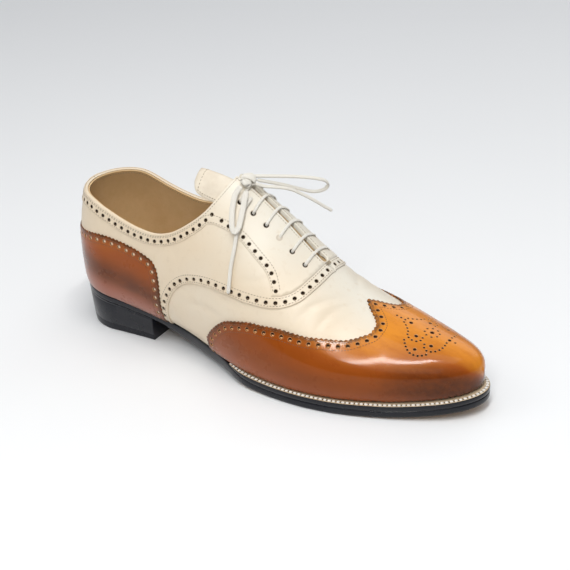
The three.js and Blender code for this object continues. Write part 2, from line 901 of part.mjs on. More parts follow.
const openTop = collarCutter();
const slit = throatCutter();
const wing = wingCutter();
const counterArea = counterCutter(0);
const holes = eyelets.flatMap((t) => [eyeletCutter(t, -1), eyeletCutter(t, 1)]);
const below = foreHeight;

// The upper is a hollow shell, open at the collar, the throat and underneath.
let upper = lastForm(0, 0).subtract(lastForm(-upperWall, below));
upper = upper.subtract(openTop).subtract(slit);

// The overlays are cut from a thin layer that follows the upper.
const layer = lastForm(overlayTop, 0).subtract(lastForm(clearance, below));
const toeCap = layer.intersect(wing);
const counter = layer.intersect(counterArea);
let quarters = layer.intersect(quarterCutter()).subtract(counterCutter(clearance));
quarters = quarters.subtract(openTop).subtract(slit);
for (const hole of holes) {
  upper = upper.subtract(hole);
  quarters = quarters.subtract(hole);
}

addPiece("outsole", outsoleBody(), black);
addPiece("heel", heelBody(), black);
addPiece("welt", weltBody(), natural);
addPiece("insole", insoleBody(), natural);
addPiece("upper", upper, cream);
addPiece("toe_cap", toeCap, tan);
addPiece("counter", counter, tan);
addPiece("quarter_lateral", quarters.intersect(halfCutter(-1)), cream);
addPiece("quarter_medial", quarters.intersect(halfCutter(1)), cream);
addPiece("tongue", tongueBody(), cream);
addPiece("lace_bars", laceBody(), cotton);

// The shoe stands on the origin, under the middle of all but the bow.
const middle = new THREE.Box3().setFromObject(shoe).getCenter(new THREE.Vector3());
shoe.position.set(-middle.x, -middle.y, 0);

addPiece("lace_knot", knotBody(), cotton);
addPiece("lace_loop_lateral", cordBody(loopLateral, 18), cotton);
addPiece("lace_end_lateral", cordBody(endLateral, 16), cotton);
addPiece("lace_loop_medial", cordBody(loopMedial, 26), cotton);
addPiece("lace_end_medial", cordBody(endMedial, 14), cotton);

export default shoe;
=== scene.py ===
import bpy
import bmesh
import math
import numpy as np
from mathutils import Matrix, Vector
from mathutils.geometry import delaunay_2d_cdt
from mathutils.kdtree import KDTree


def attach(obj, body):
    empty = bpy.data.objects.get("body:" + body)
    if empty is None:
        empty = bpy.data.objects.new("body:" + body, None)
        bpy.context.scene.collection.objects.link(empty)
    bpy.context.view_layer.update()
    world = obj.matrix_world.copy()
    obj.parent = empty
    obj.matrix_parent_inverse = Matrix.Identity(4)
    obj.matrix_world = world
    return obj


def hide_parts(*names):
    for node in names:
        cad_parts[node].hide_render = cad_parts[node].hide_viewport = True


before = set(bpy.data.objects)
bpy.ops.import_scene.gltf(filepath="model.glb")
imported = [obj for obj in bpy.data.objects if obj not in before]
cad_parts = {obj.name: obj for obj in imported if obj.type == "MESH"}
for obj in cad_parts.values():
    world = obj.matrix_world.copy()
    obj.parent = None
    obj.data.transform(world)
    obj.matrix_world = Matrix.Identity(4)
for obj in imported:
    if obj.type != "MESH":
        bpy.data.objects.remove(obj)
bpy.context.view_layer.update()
scene = bpy.context.scene

# Sizes of the last in millimetres, with the heel end near x = 0. Minus y is the lateral side.
last = {
    "length": 292.0, "ballWidth": 90.0, "instepHeight": 108.0, "toeSpring": 6.5,
    "foreHeight": 8.5, "seatHeight": 29.5, "collarHeight": 67.5, "counterHeight": 44.0,
    "heelStart": -0.062, "heelAxisShare": 0.1164, "toeStartShare": 0.6233,
    "moveX": -147.18593, "moveY": 1.85153,
}
heelAxis = 0.378 * last["ballWidth"]

sectionColumns = ["at", "footLat", "footMed", "swellLat", "swellMed", "pitch", "spring",
                  "swellUp", "crestUp", "lean", "centre", "fullLat", "fullMed"]
sectionRows = [
    [-0.062, 0.372, 0.372, 0.394, 0.394, 1.0, 0, 0.24, 0.94, 0, 0, 2.1, 2.1],
    [0.027, 0.356, 0.352, 0.383, 0.383, 0.967, 0, 0.24, 0.94, 0, 0, 2.1, 2.1],
    [0.116, 0.328, 0.328, 0.367, 0.367, 0.857, 0, 0.24, 0.94, 0, 0, 2.1, 2.1],
    [0.219, 0.311, 0.3, 0.378, 0.367, 0.657, 0, 0.231, 0.979, 0, 0, 1.9, 1.9],
    [0.325, 0.322, 0.246, 0.406, 0.352, 0.395, 0, 0.222, 1.011, 0.011, 0, 1.75, 1.75],
    [0.411, 0.394, 0.246, 0.456, 0.361, 0.214, 0, 0.204, 1.0, 0.022, 0, 1.7, 1.7],
    [0.514, 0.489, 0.322, 0.528, 0.417, 0.071, 0, 0.167, 0.843, 0.033, 0.003, 1.7, 1.7],
    [0.616, 0.522, 0.417, 0.556, 0.467, 0, 0, 0.148, 0.624, 0.033, 0.009, 1.8, 1.75],
    [0.719, 0.517, 0.478, 0.544, 0.502, 0, 0, 0.139, 0.43, 0.033, 0.014, 2.0, 1.85],
    [0.822, 0.483, 0.447, 0.506, 0.471, 0, 0.14, 0.13, 0.339, 0.022, 0.02, 2.15, 2.0],
    [0.925, 0.45, 0.4, 0.472, 0.421, 0, 0.54, 0.12, 0.292, 0.011, 0.024, 2.25, 2.1],
    [1.0, 0.444, 0.39, 0.467, 0.41, 0, 1.0, 0.111, 0.287, 0, 0.028, 2.25, 2.15],
]
# Lines on the side view: share of the length, share of a height over the feather line.
collarRows = [
    [0.01, 1.01, 0], [0.045, 1.015, 0], [0.084, 1.013, 0], [0.116, 0.982, 0],
    [0.163, 0.936, 0], [0.211, 0.917, 0], [0.257, 0.938, 0], [0.3, 1.02, 0],
    [0.349, 1.02, 0.282], [0.38, 1.02, 0.519], [0.399, 1.02, 0.756],
    [0.409, 1.02, 0.918], [0.417, 1.02, 1.08],
]
counterRows = [
    [0.274, -0.3], [0.274, 0.42], [0.274, 0.645], [0.271, 0.81], [0.265, 0.945],
    [0.249, 1.03], [0.219, 1.075], [0.188, 1.095], [0.142, 1.1], [0.106, 1.085],
    [0.062, 1.02], [0, 0.95], [-0.1, 0.9],
]
quarterRows = [
    [0.29, -0.1], [0.288, 0.08], [0.291, 0.14], [0.3, 0.21], [0.312, 0.275],
    [0.33, 0.335], [0.35, 0.378], [0.376, 0.41], [0.402, 0.43], [0.44, 0.441],
    [0.48, 0.443], [0.52, 0.442], [0.565, 0.444], [0.59, 0.452], [0.61, 0.466],
    [0.628, 0.488], [0.64, 0.52], [0.648, 0.555], [0.652, 0.75],
]
facingRows = [
    [0.404, 0.829], [0.415, 0.816], [0.432, 0.799], [0.47, 0.763], [0.499, 0.714],
    [0.529, 0.659], [0.547, 0.624], [0.558, 0.592], [0.568, 0.554], [0.574, 0.528],
]
# Rear edge of the winged cap: share of the way up, share of the length.
wingRows = [
    [0, 0.409], [0.1, 0.408], [0.133, 0.415], [0.2, 0.436], [0.267, 0.465],
    [0.317, 0.504], [0.35, 0.534], [0.375, 0.564], [0.408, 0.598], [0.442, 0.663],
    [0.48, 0.699], [0.53, 0.738], [0.61, 0.763], [0.69, 0.777], [0.77, 0.777],
    [0.85, 0.765], [0.93, 0.742], [1.0, 0.725],
]
tongueRows = [
    [0.322, 0.3], [0.327, 0.39], [0.337, 0.455], [0.36, 0.49], [0.42, 0.5],
    [0.5, 0.46], [0.58, 0.4], [0.65, 0.34],
]


def curveOf(xs, ys, level=False):
    xs, ys = np.asarray(xs, float), np.asarray(ys, float)
    step = np.diff(xs)
    rate = np.diff(ys) / step
    before, after = rate[:-1], rate[1:]
    if level:
        both = before * after
        total = np.where(before + after == 0, 1, before + after)
        inner = np.where(both > 0, 2 * both / total, 0)
    else:
        inner = (before * step[1:] + after * step[:-1]) / (step[:-1] + step[1:])
    slope = np.concatenate([[rate[0]], inner, [rate[-1]]])

    def at(x):
        x = np.asarray(x, float)
        i = np.clip(np.searchsorted(xs, x, side="left") - 1, 0, len(step) - 1)
        s = np.clip((x - xs[i]) / step[i], 0, 1)
        return ((1 + 2 * s) * (1 - s) ** 2 * ys[i] + s * (1 - s) ** 2 * step[i] * slope[i]
                + s * s * (3 - 2 * s) * ys[i + 1] + s * s * (s - 1) * step[i] * slope[i + 1])
    return at


def smooth(x, low, high):
    s = np.clip((np.asarray(x, float) - low) / (high - low), 0, 1)
    return s * s * (3 - 2 * s)


# Run along a row of points, from its first one.
def runOf(points):
    return np.concatenate([[0], np.cumsum(np.linalg.norm(np.diff(points, axis=0), axis=1))])


def treeOf(points):
    tree = KDTree(len(points))
    for n, point in enumerate(points):
        tree.insert((*point, 0)[:3], n)
    tree.balance()
    return tree


shape = {}
for number, column in enumerate(sectionColumns[1:], 1):
    shape[column] = curveOf([row[0] for row in sectionRows], [row[number] for row in sectionRows],
                            column in ("pitch", "spring"))


def shareOf(t):
    t = np.asarray(t, float)
    a, b = last["heelAxisShare"], last["toeStartShare"]
    heel = last["heelStart"] + (a - last["heelStart"]) * t
    middle = a + (b - a) * (t - 1)
    toe = b + (1 - b) * np.sin(np.pi / 2 * (t - 2))
    return np.where(t <= 1, heel, np.where(t <= 2, middle, toe))


def stationOf(share):
    share = np.asarray(share, float)
    a, b = last["heelAxisShare"], last["toeStartShare"]
    heel = (share - last["heelStart"]) / (a - last["heelStart"])
    middle = 1 + (share - a) / (b - a)
    toe = 2 + np.arcsin(np.clip((share - b) / (1 - b), 0, 1)) / (np.pi / 2)
    return np.where(share <= a, heel, np.where(share <= b, middle, toe))


def alongX(share):
    a = last["heelAxisShare"]
    return heelAxis + (last["length"] - heelAxis) * (np.asarray(share, float) - a) / (1 - a)


def featherZ(share):
    rise = (last["seatHeight"] - last["foreHeight"]) * shape["pitch"](share)
    return last["foreHeight"] + rise + last["toeSpring"] * shape["spring"](share)


def crestZ(share):
    at = np.maximum(share, last["heelAxisShare"])
    return featherZ(at) + last["instepHeight"] * shape["crestUp"](at)


def toePart(share):
    b = last["toeStartShare"]
    return np.clip((np.asarray(share, float) - b) / (1 - b), 0, 1)


def placeOn(t, side, out, z, shift, grow):
    turn = np.pi / 2 * np.minimum(t, 1)
    start = alongX(last["toeStartShare"])
    middle = alongX(np.maximum(shareOf(t), last["heelAxisShare"]))
    toe = start + (last["length"] + grow - start) * np.sin(np.pi / 2 * (t - 2))
    x = np.where(t <= 2, middle, toe) - out * np.cos(turn)
    y = side * out * np.sin(turn) + shift
    return np.stack(np.broadcast_arrays(x, y, z), -1)


def planPoint(t, side, margin, z):
    share = shareOf(t)
    half = last["ballWidth"] * shape["footLat" if side < 0 else "footMed"](share) + margin
    half = half * np.sqrt(1 - toePart(share) ** 2)
    return placeOn(t, side, half, z, last["ballWidth"] * shape["centre"](share), margin)


def sideCurves(t, side):
    t = np.asarray(t, float)[:, None]
    share = shareOf(t)
    across = np.sqrt(np.maximum(0, 1 - toePart(share) ** 2))
    upward = np.maximum(0, 1 - toePart(share) ** 3.6) ** (1 / 2.3)
    foot = last["ballWidth"] * shape["footLat" if side < 0 else "footMed"](share) * across
    swell = last["ballWidth"] * shape["swellLat" if side < 0 else "swellMed"](share) * across
    full = shape["fullLat" if side < 0 else "fullMed"](share)
    footZ = featherZ(share)
    swellZ = footZ + last["instepHeight"] * shape["swellUp"](share)
    crest = swellZ + (crestZ(share) - swellZ) * upward
    low = np.linspace(0, np.pi / 2, 33)[None, :]
    high = np.linspace(0, np.pi / 2, 97)[None, 1:]
    up = np.sin(high) ** (2 / full)
    out = np.concatenate([foot + (swell - foot) * np.sin(low),
                          swell * np.maximum(0, np.cos(high)) ** (2 / full)], 1)
    out[:, -1] = 0
    z = np.concatenate([swellZ - (swellZ - footZ) * np.cos(low),
                        swellZ + (crest - swellZ) * up], 1)
    lean = last["ballWidth"] * shape["lean"](share) * up ** 2
    shift = last["ballWidth"] * shape["centre"](share) + np.concatenate([low * 0 + lean[:, :1] * 0, lean], 1)
    return placeOn(t, side, out, z, shift, 0)


stepsPerStation, upSteps = 200, 128
stationCount = 3 * stepsPerStation
ringCount = 2 * stationCount


def resample(points, goals):
    length = runOf(points)
    total = length[-1]
    return np.stack([np.interp(goals * total, length, points[:, k]) for k in range(3)], 1), total


print("last surface")
ups = np.linspace(0, 1, upSteps + 1)
surfaceAt = np.zeros((ringCount, upSteps + 1, 3))
sectionLength = {}
swellRun = {}
for side in (-1, 1):
    curves = sideCurves(np.linspace(0, 3, stationCount + 1), side)
    totals = np.zeros(stationCount + 1)
    for i in range(stationCount + 1):
        rung, totals[i] = resample(curves[i], ups)
        surfaceAt[i if side < 0 else (ringCount - i) % ringCount] = rung
    sectionLength[side] = totals
    swell = curves[:, 32]
    swellRun[side] = runOf(swell)
bothRun = (swellRun[-1] + swellRun[1]) / 2
stationGrid = np.linspace(0, 3, stationCount + 1)


def normalsOf(points):
    along = np.roll(points, -1, 0) - np.roll(points, 1, 0)
    over = np.gradient(points, axis=1)
    normal = np.cross(along, over)
    size = np.linalg.norm(normal, axis=2, keepdims=True)
    normal = np.where(size > 1e-9, normal / np.maximum(size, 1e-9), [0.0, 0.0, 1.0])
    normal[stationCount] = normal[stationCount] * [1, 0, 1] + [1e-6, 0, 0]
    normal[stationCount, -3:] = normal[stationCount, -4]
    mirror = (ringCount - np.arange(ringCount)) % ringCount
    normal[:, -1] = normal[:, -1] + normal[mirror, -1]
    return normal / np.linalg.norm(normal, axis=2, keepdims=True)


surfaceNormal = normalsOf(surfaceAt)

# Creases, listed: side, share along, millimetres over from the crest, turn in degrees,
# half length and half width in millimetres, depth in millimetres.
creases = [
    (-1, 0.655, 30, 74, 26, 3.4, 0.5), (-1, 0.69, 26, 80, 24, 3.0, 0.35),
    (1, 0.66, 24, 100, 26, 3.4, 0.45), (1, 0.7, 22, 96, 22, 3.0, 0.3),
    (-1, 0.36, 78, 28, 16, 2.6, 0.4), (-1, 0.4, 92, 12, 20, 3.2, 0.45),
    (-1, 0.325, 84, -30, 13, 2.4, 0.3), (-1, 0.255, 74, 60, 16, 3.0, 0.35),
    (-1, 0.3, 60, -52, 14, 3.0, 0.3), (-1, 0.47, 74, 18, 17, 3.0, 0.25),
    (1, 0.35, 76, 150, 17, 2.8, 0.4), (1, 0.4, 88, 168, 20, 3.2, 0.4),
    (1, 0.255, 72, 120, 15, 3.0, 0.3), (-1, 0.53, 46, 50, 14, 2.6, 0.2),
]


def lookUp(table, r, up):
    i = np.mod(np.asarray(r, float), 6.0) * stepsPerStation
    j = np.clip(np.asarray(up, float), 0, 1) * upSteps
    i0 = np.floor(i).astype(int)
    j0 = np.minimum(np.floor(j).astype(int), upSteps - 1)
    a, b = (i - i0)[..., None], (j - j0)[..., None]
    i0 %= ringCount
    i1 = (i0 + 1) % ringCount
    return ((1 - a) * (1 - b) * table[i0, j0] + a * (1 - b) * table[i1, j0]
            + (1 - a) * b * table[i0, j0 + 1] + a * b * table[i1, j0 + 1])


def surface(r, up, off=0.0):
    normal = lookUp(surfaceNormal, r, up)
    normal /= np.linalg.norm(normal, axis=-1, keepdims=True)
    off = np.asarray(off, float)
    return lookUp(surfaceAt, r, up) + normal * off[..., None], normal


def ringOf(t, side):
    return np.where(np.asarray(side) < 0, t, 6.0 - t)


def stationAt(r):
    return np.where(r > 3, 6 - r, r)


# Length of the section from the feather line to the crest, for one side or for a side each.
def girth(t, side):
    lateral, medial = (np.interp(t, stationGrid, sectionLength[k]) for k in (-1, 1))
    return np.where(np.asarray(side) < 0, lateral, medial)


# Pattern spaces, in millimetres. Around: from the back seam forward and up from the feather
# line. Over: along the swell from the back and across the crest, lateral side minus.
def around(p, side=0):
    p = np.asarray(p, float)
    sides = np.where(p[:, 0] < 0, -1, 1) if side == 0 else np.full(len(p), side)
    t = np.where(sides < 0, np.interp(np.abs(p[:, 0]), swellRun[-1], stationGrid),
                 np.interp(np.abs(p[:, 0]), swellRun[1], stationGrid))
    return ringOf(t, sides), p[:, 1] / girth(t, sides)


def over(p):
    p = np.asarray(p, float)
    sides = np.where(p[:, 1] < 0, -1, 1)
    t = np.interp(p[:, 0], bothRun, stationGrid)
    return ringOf(t, sides), 1 - np.abs(p[:, 1]) / girth(t, sides)


def toAround(t, up, side):
    a = np.interp(t, stationGrid, swellRun[side])
    return np.stack([a, up * girth(t, side)], 1)


def toOver(t, up, side):
    g = side * (1 - np.asarray(up)) * girth(t, side)
    return np.stack([np.interp(t, stationGrid, bothRun), g], 1)


def overPoint(share, across, off=0.0):
    t = stationOf(share)
    p = np.stack(np.broadcast_arrays(np.interp(t, stationGrid, bothRun),
                                     np.asarray(across, float)), -1).reshape(-1, 2)
    return surface(*over(p), np.broadcast_to(np.asarray(off, float), (len(p),)))


shift = np.zeros(surfaceAt.shape[:2])
for side, share, across, turn, halfLength, halfWidth, depth in creases:
    centre, normal = overPoint(share, side * across)
    ahead, _ = overPoint(share + 0.003, side * across)
    along = ahead[0] - centre[0]
    along /= np.linalg.norm(along)
    square = np.cross(normal[0], along)
    way = math.cos(math.radians(turn)) * along + math.sin(math.radians(turn)) * square
    cross = np.cross(normal[0], way)
    away = surfaceAt - centre[0]
    u = away @ way
    v = away @ cross + 0.012 * u ** 2 * (1 if depth > 0.3 else -1)
    near = np.exp(-(away @ normal[0]) ** 2 / 500)
    fall = np.exp(-(u / halfLength) ** 2 * 1.8) * near
    w = (v / halfWidth) ** 2
    shift -= depth * fall * (1 - 1.1 * w) * np.exp(-w)
surfaceAt = surfaceAt + surfaceNormal * shift[..., None]
surfaceNormal = normalsOf(surfaceAt)


def spread(rows, count=500):
    p = np.asarray(rows, float)
    gap = np.sqrt(np.linalg.norm(np.diff(p, axis=0), axis=1))
    knots = np.concatenate([[0], np.cumsum(gap)])
    first, final = 2 * p[0] - p[1], 2 * p[-1] - p[-2]
    p = np.vstack([first, p, final])
    k = np.concatenate([[knots[0] - gap[0]], knots, [knots[-1] + gap[-1]]])
    x = np.linspace(knots[0], knots[-1], count)
    i = np.clip(np.searchsorted(k, x, side="right") - 1, 1, len(k) - 3)
    x = x[:, None]
    k0, k1, k2, k3 = (k[i + n][:, None] for n in (-1, 0, 1, 2))
    p0, p1, p2, p3 = (p[i + n] for n in (-1, 0, 1, 2))
    a1 = (k1 - x) / (k1 - k0) * p0 + (x - k0) / (k1 - k0) * p1
    a2 = (k2 - x) / (k2 - k1) * p1 + (x - k1) / (k2 - k1) * p2
    a3 = (k3 - x) / (k3 - k2) * p2 + (x - k2) / (k3 - k2) * p3
    b1 = (k2 - x) / (k2 - k0) * a1 + (x - k0) / (k2 - k0) * a2
    b2 = (k3 - x) / (k3 - k1) * a2 + (x - k1) / (k3 - k1) * a3
    return (k2 - x) / (k2 - k1) * b1 + (x - k1) / (k2 - k1) * b2


# Finds station and share of the way up for points of the side view.
def fromSide(points, side):
    index = np.arange(stationCount + 1)
    grid = surfaceAt[index if side < 0 else (ringCount - index) % ringCount][:, :, [0, 2]]
    places = [(i, j) for i in range(0, stationCount + 1, 2) for j in range(0, upSteps + 1, 2)]
    tree = treeOf([grid[i, j] for i, j in places])
    found = []
    for point in points:
        _, n, _ = tree.find((*point, 0))
        i, j = places[n]
        u, v = float(i), float(j)
        for _ in range(6):
            i0 = int(min(max(math.floor(u), 0), stationCount - 1))
            j0 = int(min(max(math.floor(v), 0), upSteps - 1))
            a, b = u - i0, v - j0
            g00, g10, g01, g11 = grid[i0, j0], grid[i0 + 1, j0], grid[i0, j0 + 1], grid[i0 + 1, j0 + 1]
            here = (1 - a) * (1 - b) * g00 + a * (1 - b) * g10 + (1 - a) * b * g01 + a * b * g11
            du = (1 - b) * (g10 - g00) + b * (g11 - g01)
            dv = (1 - a) * (g01 - g00) + a * (g11 - g10)
            det = du[0] * dv[1] - du[1] * dv[0]
            if abs(det) < 1e-9:
                break
            miss = point - here
            u = min(max(u + (miss[0] * dv[1] - miss[1] * dv[0]) / det, 0), stationCount)
            v = min(max(v + (du[0] * miss[1] - du[1] * miss[0]) / det, 0), upSteps)
        i0 = int(min(math.floor(u), stationCount - 1))
        j0 = int(min(math.floor(v), upSteps - 1))
        a, b = u - i0, v - j0
        here = ((1 - a) * (1 - b) * grid[i0, j0] + a * (1 - b) * grid[i0 + 1, j0]
                + (1 - a) * b * grid[i0, j0 + 1] + a * b * grid[i0 + 1, j0 + 1])
        if np.linalg.norm(here - point) < 0.35:
            found.append((u / stepsPerStation, v / upSteps))
    return np.array(found)


def sideLine(rows, height, side, toCrest=False):
    at = np.array([row[0] for row in rows])
    z = featherZ(at) + np.array([row[1] for row in rows]) * height
    if toCrest:
        raised = np.array([row[2] for row in rows])
        z = featherZ(at) + (1 - raised) * (z - featherZ(at)) + raised * (crestZ(at) - featherZ(at))
    return fromSide(spread(np.stack([alongX(at), z], 1), 420), side)


# Steps along a line of pattern points, evened out over the surface.
def even(line, place, gap, closed=False, ends=True):
    points = surface(*place(line))[0]
    if closed:
        points = np.vstack([points, points[:1]])
        line = np.vstack([line, line[:1]])
    length = runOf(points)
    count = max(2, int(round(length[-1] / gap)))
    goals = np.linspace(0, length[-1], count + 1)
    if closed:
        goals = goals[:-1]
    elif not ends:
        goals = goals[:-1] + length[-1] / count / 2
    return np.stack([np.interp(goals, length, line[:, k]) for k in range(2)], 1)


def slopes(p, place, step=0.4):
    right, left = surface(*place(p + [step, 0]))[0], surface(*place(p - [step, 0]))[0]
    up, down = surface(*place(p + [0, step]))[0], surface(*place(p - [0, step]))[0]
    return np.stack([(right - left) / (2 * step), (up - down) / (2 * step)], 2)


# Moves a line of pattern points sideways by real millimetres. Plus is to the left of its run.
def aside(line, place, distance, closed=False):
    line = np.asarray(line, float).copy()
    distance = np.broadcast_to(np.asarray(distance, float), (len(line),))
    rounds = max(1, int(np.ceil(np.abs(distance).max() / 2)))
    for _ in range(rounds):
        points, normal = surface(*place(line))
        if closed:
            way = np.roll(points, -1, 0) - np.roll(points, 1, 0)
        else:
            way = np.gradient(points, axis=0)
        way /= np.maximum(np.linalg.norm(way, axis=1, keepdims=True), 1e-9)
        left = np.cross(normal, way)
        j = slopes(line, place)
        metric = np.einsum("nki,nkj->nij", j, j) + np.eye(2) * 1e-9
        pull = np.einsum("nki,nk->ni", j, left)
        line = line + np.linalg.solve(metric, pull[..., None])[..., 0] * (distance / rounds)[:, None]
    return line


# Step at which a line is sampled where distances to it are measured.
nearStep = 0.8


# A line set in from an edge, without the loops that sharp turns would make.
def setIn(line, place, distance):
    moved = aside(line, place, distance)
    points = surface(*place(moved))[0]
    tree = treeOf(surface(*place(even(line, place, nearStep)))[0])
    return moved[[tree.find(p)[2] > abs(distance) * 0.94 for p in points]]


def holesAt(centres, place, radius, count=12):
    radius = np.broadcast_to(np.asarray(radius, float), (len(centres),))
    j = slopes(centres, place)
    metric = np.einsum("nki,nkj->nij", j, j)
    value, vector = np.linalg.eigh(metric)
    root = np.einsum("nij,nj,nkj->nik", vector, 1 / np.sqrt(value), vector)
    turn = np.arange(count) / count * 2 * np.pi
    circle = np.stack([np.cos(turn), np.sin(turn)], 0)
    return [c + (root[n] @ circle).T * radius[n] for n, c in enumerate(centres)]


def insideOf(points, polygon):
    x, y = points[:, 0], points[:, 1]
    inside = np.zeros(len(points), bool)
    ax, ay = polygon[:, 0], polygon[:, 1]
    bx, by = np.roll(ax, -1), np.roll(ay, -1)
    for k in range(len(polygon)):
        crossing = (ay[k] > y) != (by[k] > y)
        if ay[k] != by[k]:
            inside ^= crossing & (x < (bx[k] - ax[k]) * (y - ay[k]) / (by[k] - ay[k]) + ax[k])
    return inside


def toScene(points):
    return (np.asarray(points) + [last["moveX"], last["moveY"], 0]) / 1000


def meshPiece(name, points, faces, finish, loopNormals=None, values=None, uv=None, slots=None):
    mesh = bpy.data.meshes.new(name)
    mesh.from_pydata([tuple(p) for p in points], [], faces)
    mesh.validate(verbose=False)
    piece = bpy.data.objects.new(name, mesh)
    scene.collection.objects.link(piece)
    for material in finish if isinstance(finish, (list, tuple)) else [finish]:
        mesh.materials.append(material)
    mesh.polygons.foreach_set("use_smooth", [True] * len(mesh.polygons))
    for label, numbers in (values or {}).items():
        layer = mesh.attributes.new(label, "FLOAT", "POINT")
        layer.data.foreach_set("value", np.asarray(numbers, np.float32))
    if slots is not None:
        mesh.polygons.foreach_set("material_index", slots)
    if uv is not None:
        layer = mesh.uv_layers.new(name="along")
        layer.data.foreach_set("uv", np.asarray(uv, np.float32).ravel())
    mesh.update()
    if loopNormals is not None:
        mesh.normals_split_custom_set([tuple(n) for n in loopNormals])
    return piece


def dress(piece, nodes):
    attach(piece, "root")
    if nodes:
        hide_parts(*nodes)
    return piece


# A leather panel cut from the surface: outline and holes in a pattern space, outer and inner
# distance from the last. Its edges are rounded and its holes go through.
def leatherPanel(name, outline, holes, place, outer, inner, finish, gap=2.4, shade=None,
                 inset=None, seamAt=None, rounding=0.3):
    outline = np.asarray(outline, float)
    rings = [outline] + [np.asarray(h, float) for h in holes]
    ringId = np.concatenate([np.full(len(ring), n) for n, ring in enumerate(rings)])
    edges = []
    start = 0
    for ring in rings:
        edges += [(start + k, start + (k + 1) % len(ring)) for k in range(len(ring))]
        start += len(ring)
    fixed = np.vstack(rings)
    tree = treeOf(fixed)
    low, high = outline.min(0), outline.max(0)
    columns = np.arange(low[0], high[0], gap)
    rows = np.arange(low[1], high[1], gap * 0.866)
    grid = np.array([(x + (gap / 2 if k % 2 else 0), y) for k, y in enumerate(rows) for x in columns])
    extra = [grid]
    keepOut = [gap * 0.55]
    if inset is not None:
        extra.append(inset)
        keepOut.append(0.25)
    for hole in rings[1:]:
        middle = hole.mean(0)
        extra.append(middle + (hole - middle) * 1.35)
        keepOut.append(0.05)
    free = []
    for points, room in zip(extra, keepOut):
        points = points[insideOf(points, outline)]
        free += [p for p in points if tree.find((p[0], p[1], 0))[2] > room]
    ringPoints = free
    # The grid gives way to the finer rows beside edges and holes.
    if len(extra) > 1:
        fine = np.vstack(extra[1:])
        fineTree = treeOf(fine)
        gridSet = {tuple(p) for p in grid}
        ringPoints = [p for p in free
                      if tuple(p) not in gridSet or fineTree.find((p[0], p[1], 0))[2] > gap * 0.4]
    every = np.vstack([fixed, np.array(ringPoints)]) if ringPoints else fixed
    result = delaunay_2d_cdt([Vector(p) for p in every], edges, [], 0, 1e-6)
    flat = np.array([tuple(p) for p in result[0]])
    source = [ids[0] if ids else -1 for ids in result[3]]
    owner = np.array([ringId[s] if 0 <= s < len(fixed) else -1 for s in source])
    faces = np.array([tuple(f) for f in result[2] if len(f) == 3])
    middles = flat[faces].mean(1)
    keep = insideOf(middles, outline)
    own = owner[faces]
    keep &= ~((own[:, 0] > 0) & (own[:, 0] == own[:, 1]) & (own[:, 1] == own[:, 2]))
    faces = faces[keep]
    a, b, c = flat[faces[:, 0]], flat[faces[:, 1]], flat[faces[:, 2]]
    area = (b - a)[:, 0] * (c - a)[:, 1] - (b - a)[:, 1] * (c - a)[:, 0]
    faces = faces[np.abs(area) > 1e-7]
    r, up = place(flat)
    base, normal = surface(r, up)
    a, b, c = base[faces[:, 0]], base[faces[:, 1]], base[faces[:, 2]]
    facing = np.einsum("ij,ij->i", np.cross(b - a, c - a), normal[faces].mean(1))
    faces[facing < 0] = faces[facing < 0][:, ::-1]
    halfEdges = dict.fromkeys((int(f[k]), int(f[(k + 1) % 3])) for f in faces for k in range(3))
    border = [(i, j) for i, j in halfEdges if (j, i) not in halfEdges]
    if seamAt is not None:
        border = [(i, j) for i, j in border
                  if not (flat[i, 0] > seamAt - 1e-4 and flat[j, 0] > seamAt - 1e-4)]
    wall = np.zeros_like(base)
    for i, j in border:
        way = np.cross(base[j] - base[i], normal[i])
        size = np.linalg.norm(way)
        if size > 1e-9:
            wall[i] += way / size
            wall[j] += way / size
    size = np.linalg.norm(wall, axis=1, keepdims=True)
    wall = np.where(size > 1e-6, wall / np.maximum(size, 1e-6), 0)
    onEdge = size[:, 0] > 1e-6
    drop = np.where(onEdge & (owner == 0), rounding, np.where(onEdge, rounding * 0.5, 0))
    outer = outer(flat) if callable(outer) else np.full(len(flat), float(outer))
    inner = inner(flat) if callable(inner) else np.full(len(flat), float(inner))
    top = base + normal * (outer - drop)[:, None]
    low = base + normal * inner[:, None]
    total = len(flat)
    topFaces = [tuple(int(v) for v in f) for f in faces]
    lowFaces = [tuple(int(v) + total for v in f[::-1]) for f in faces]
    wallFaces = [(j, i, i + total, j + total) for i, j in border]
    lean = np.where((owner == 0)[:, None], 0.75, 0.55)
    topNormal = normal + wall * lean
    topNormal /= np.linalg.norm(topNormal, axis=1, keepdims=True)
    wallTop = wall + normal * 0.45
    wallTop /= np.maximum(np.linalg.norm(wallTop, axis=1, keepdims=True), 1e-9)
    loops = [topNormal[np.array(topFaces).ravel()], -normal[np.array(lowFaces).ravel() - total]]
    if wallFaces:
        w = np.array(wallFaces)
        each = np.stack([wallTop[w[:, 0]], wallTop[w[:, 1]],
                         wall[w[:, 2] - total], wall[w[:, 3] - total]], 1)
        loops.append(each.reshape(-1, 3))
    loops = np.vstack(loops)
    points = toScene(np.vstack([top, low]))
    rim = (owner > 0).astype(float)
    values = {"rim": np.concatenate([rim, rim])}
    for label, numbers in (shade(flat, r, up, base) if shade else {}).items():
        values[label] = np.concatenate([numbers, numbers])
    piece = meshPiece(name, points, topFaces + lowFaces + wallFaces, finish, loops, values)
    print(f"  {name}: {len(faces) * 2 + len(wallFaces) * 2} triangles")
    return piece


# Finishes.


def newMaterial(name):
    material = bpy.data.materials.new(name)
    material.use_nodes = True
    tree = material.node_tree
    shader = next(n for n in tree.nodes if n.type == "BSDF_PRINCIPLED")
    return material, tree, shader


def feed(tree, made, inputs):
    for key, value in inputs.items():
        if isinstance(value, bpy.types.NodeSocket):
            tree.links.new(value, made.inputs[key])
        else:
            made.inputs[key].default_value = value


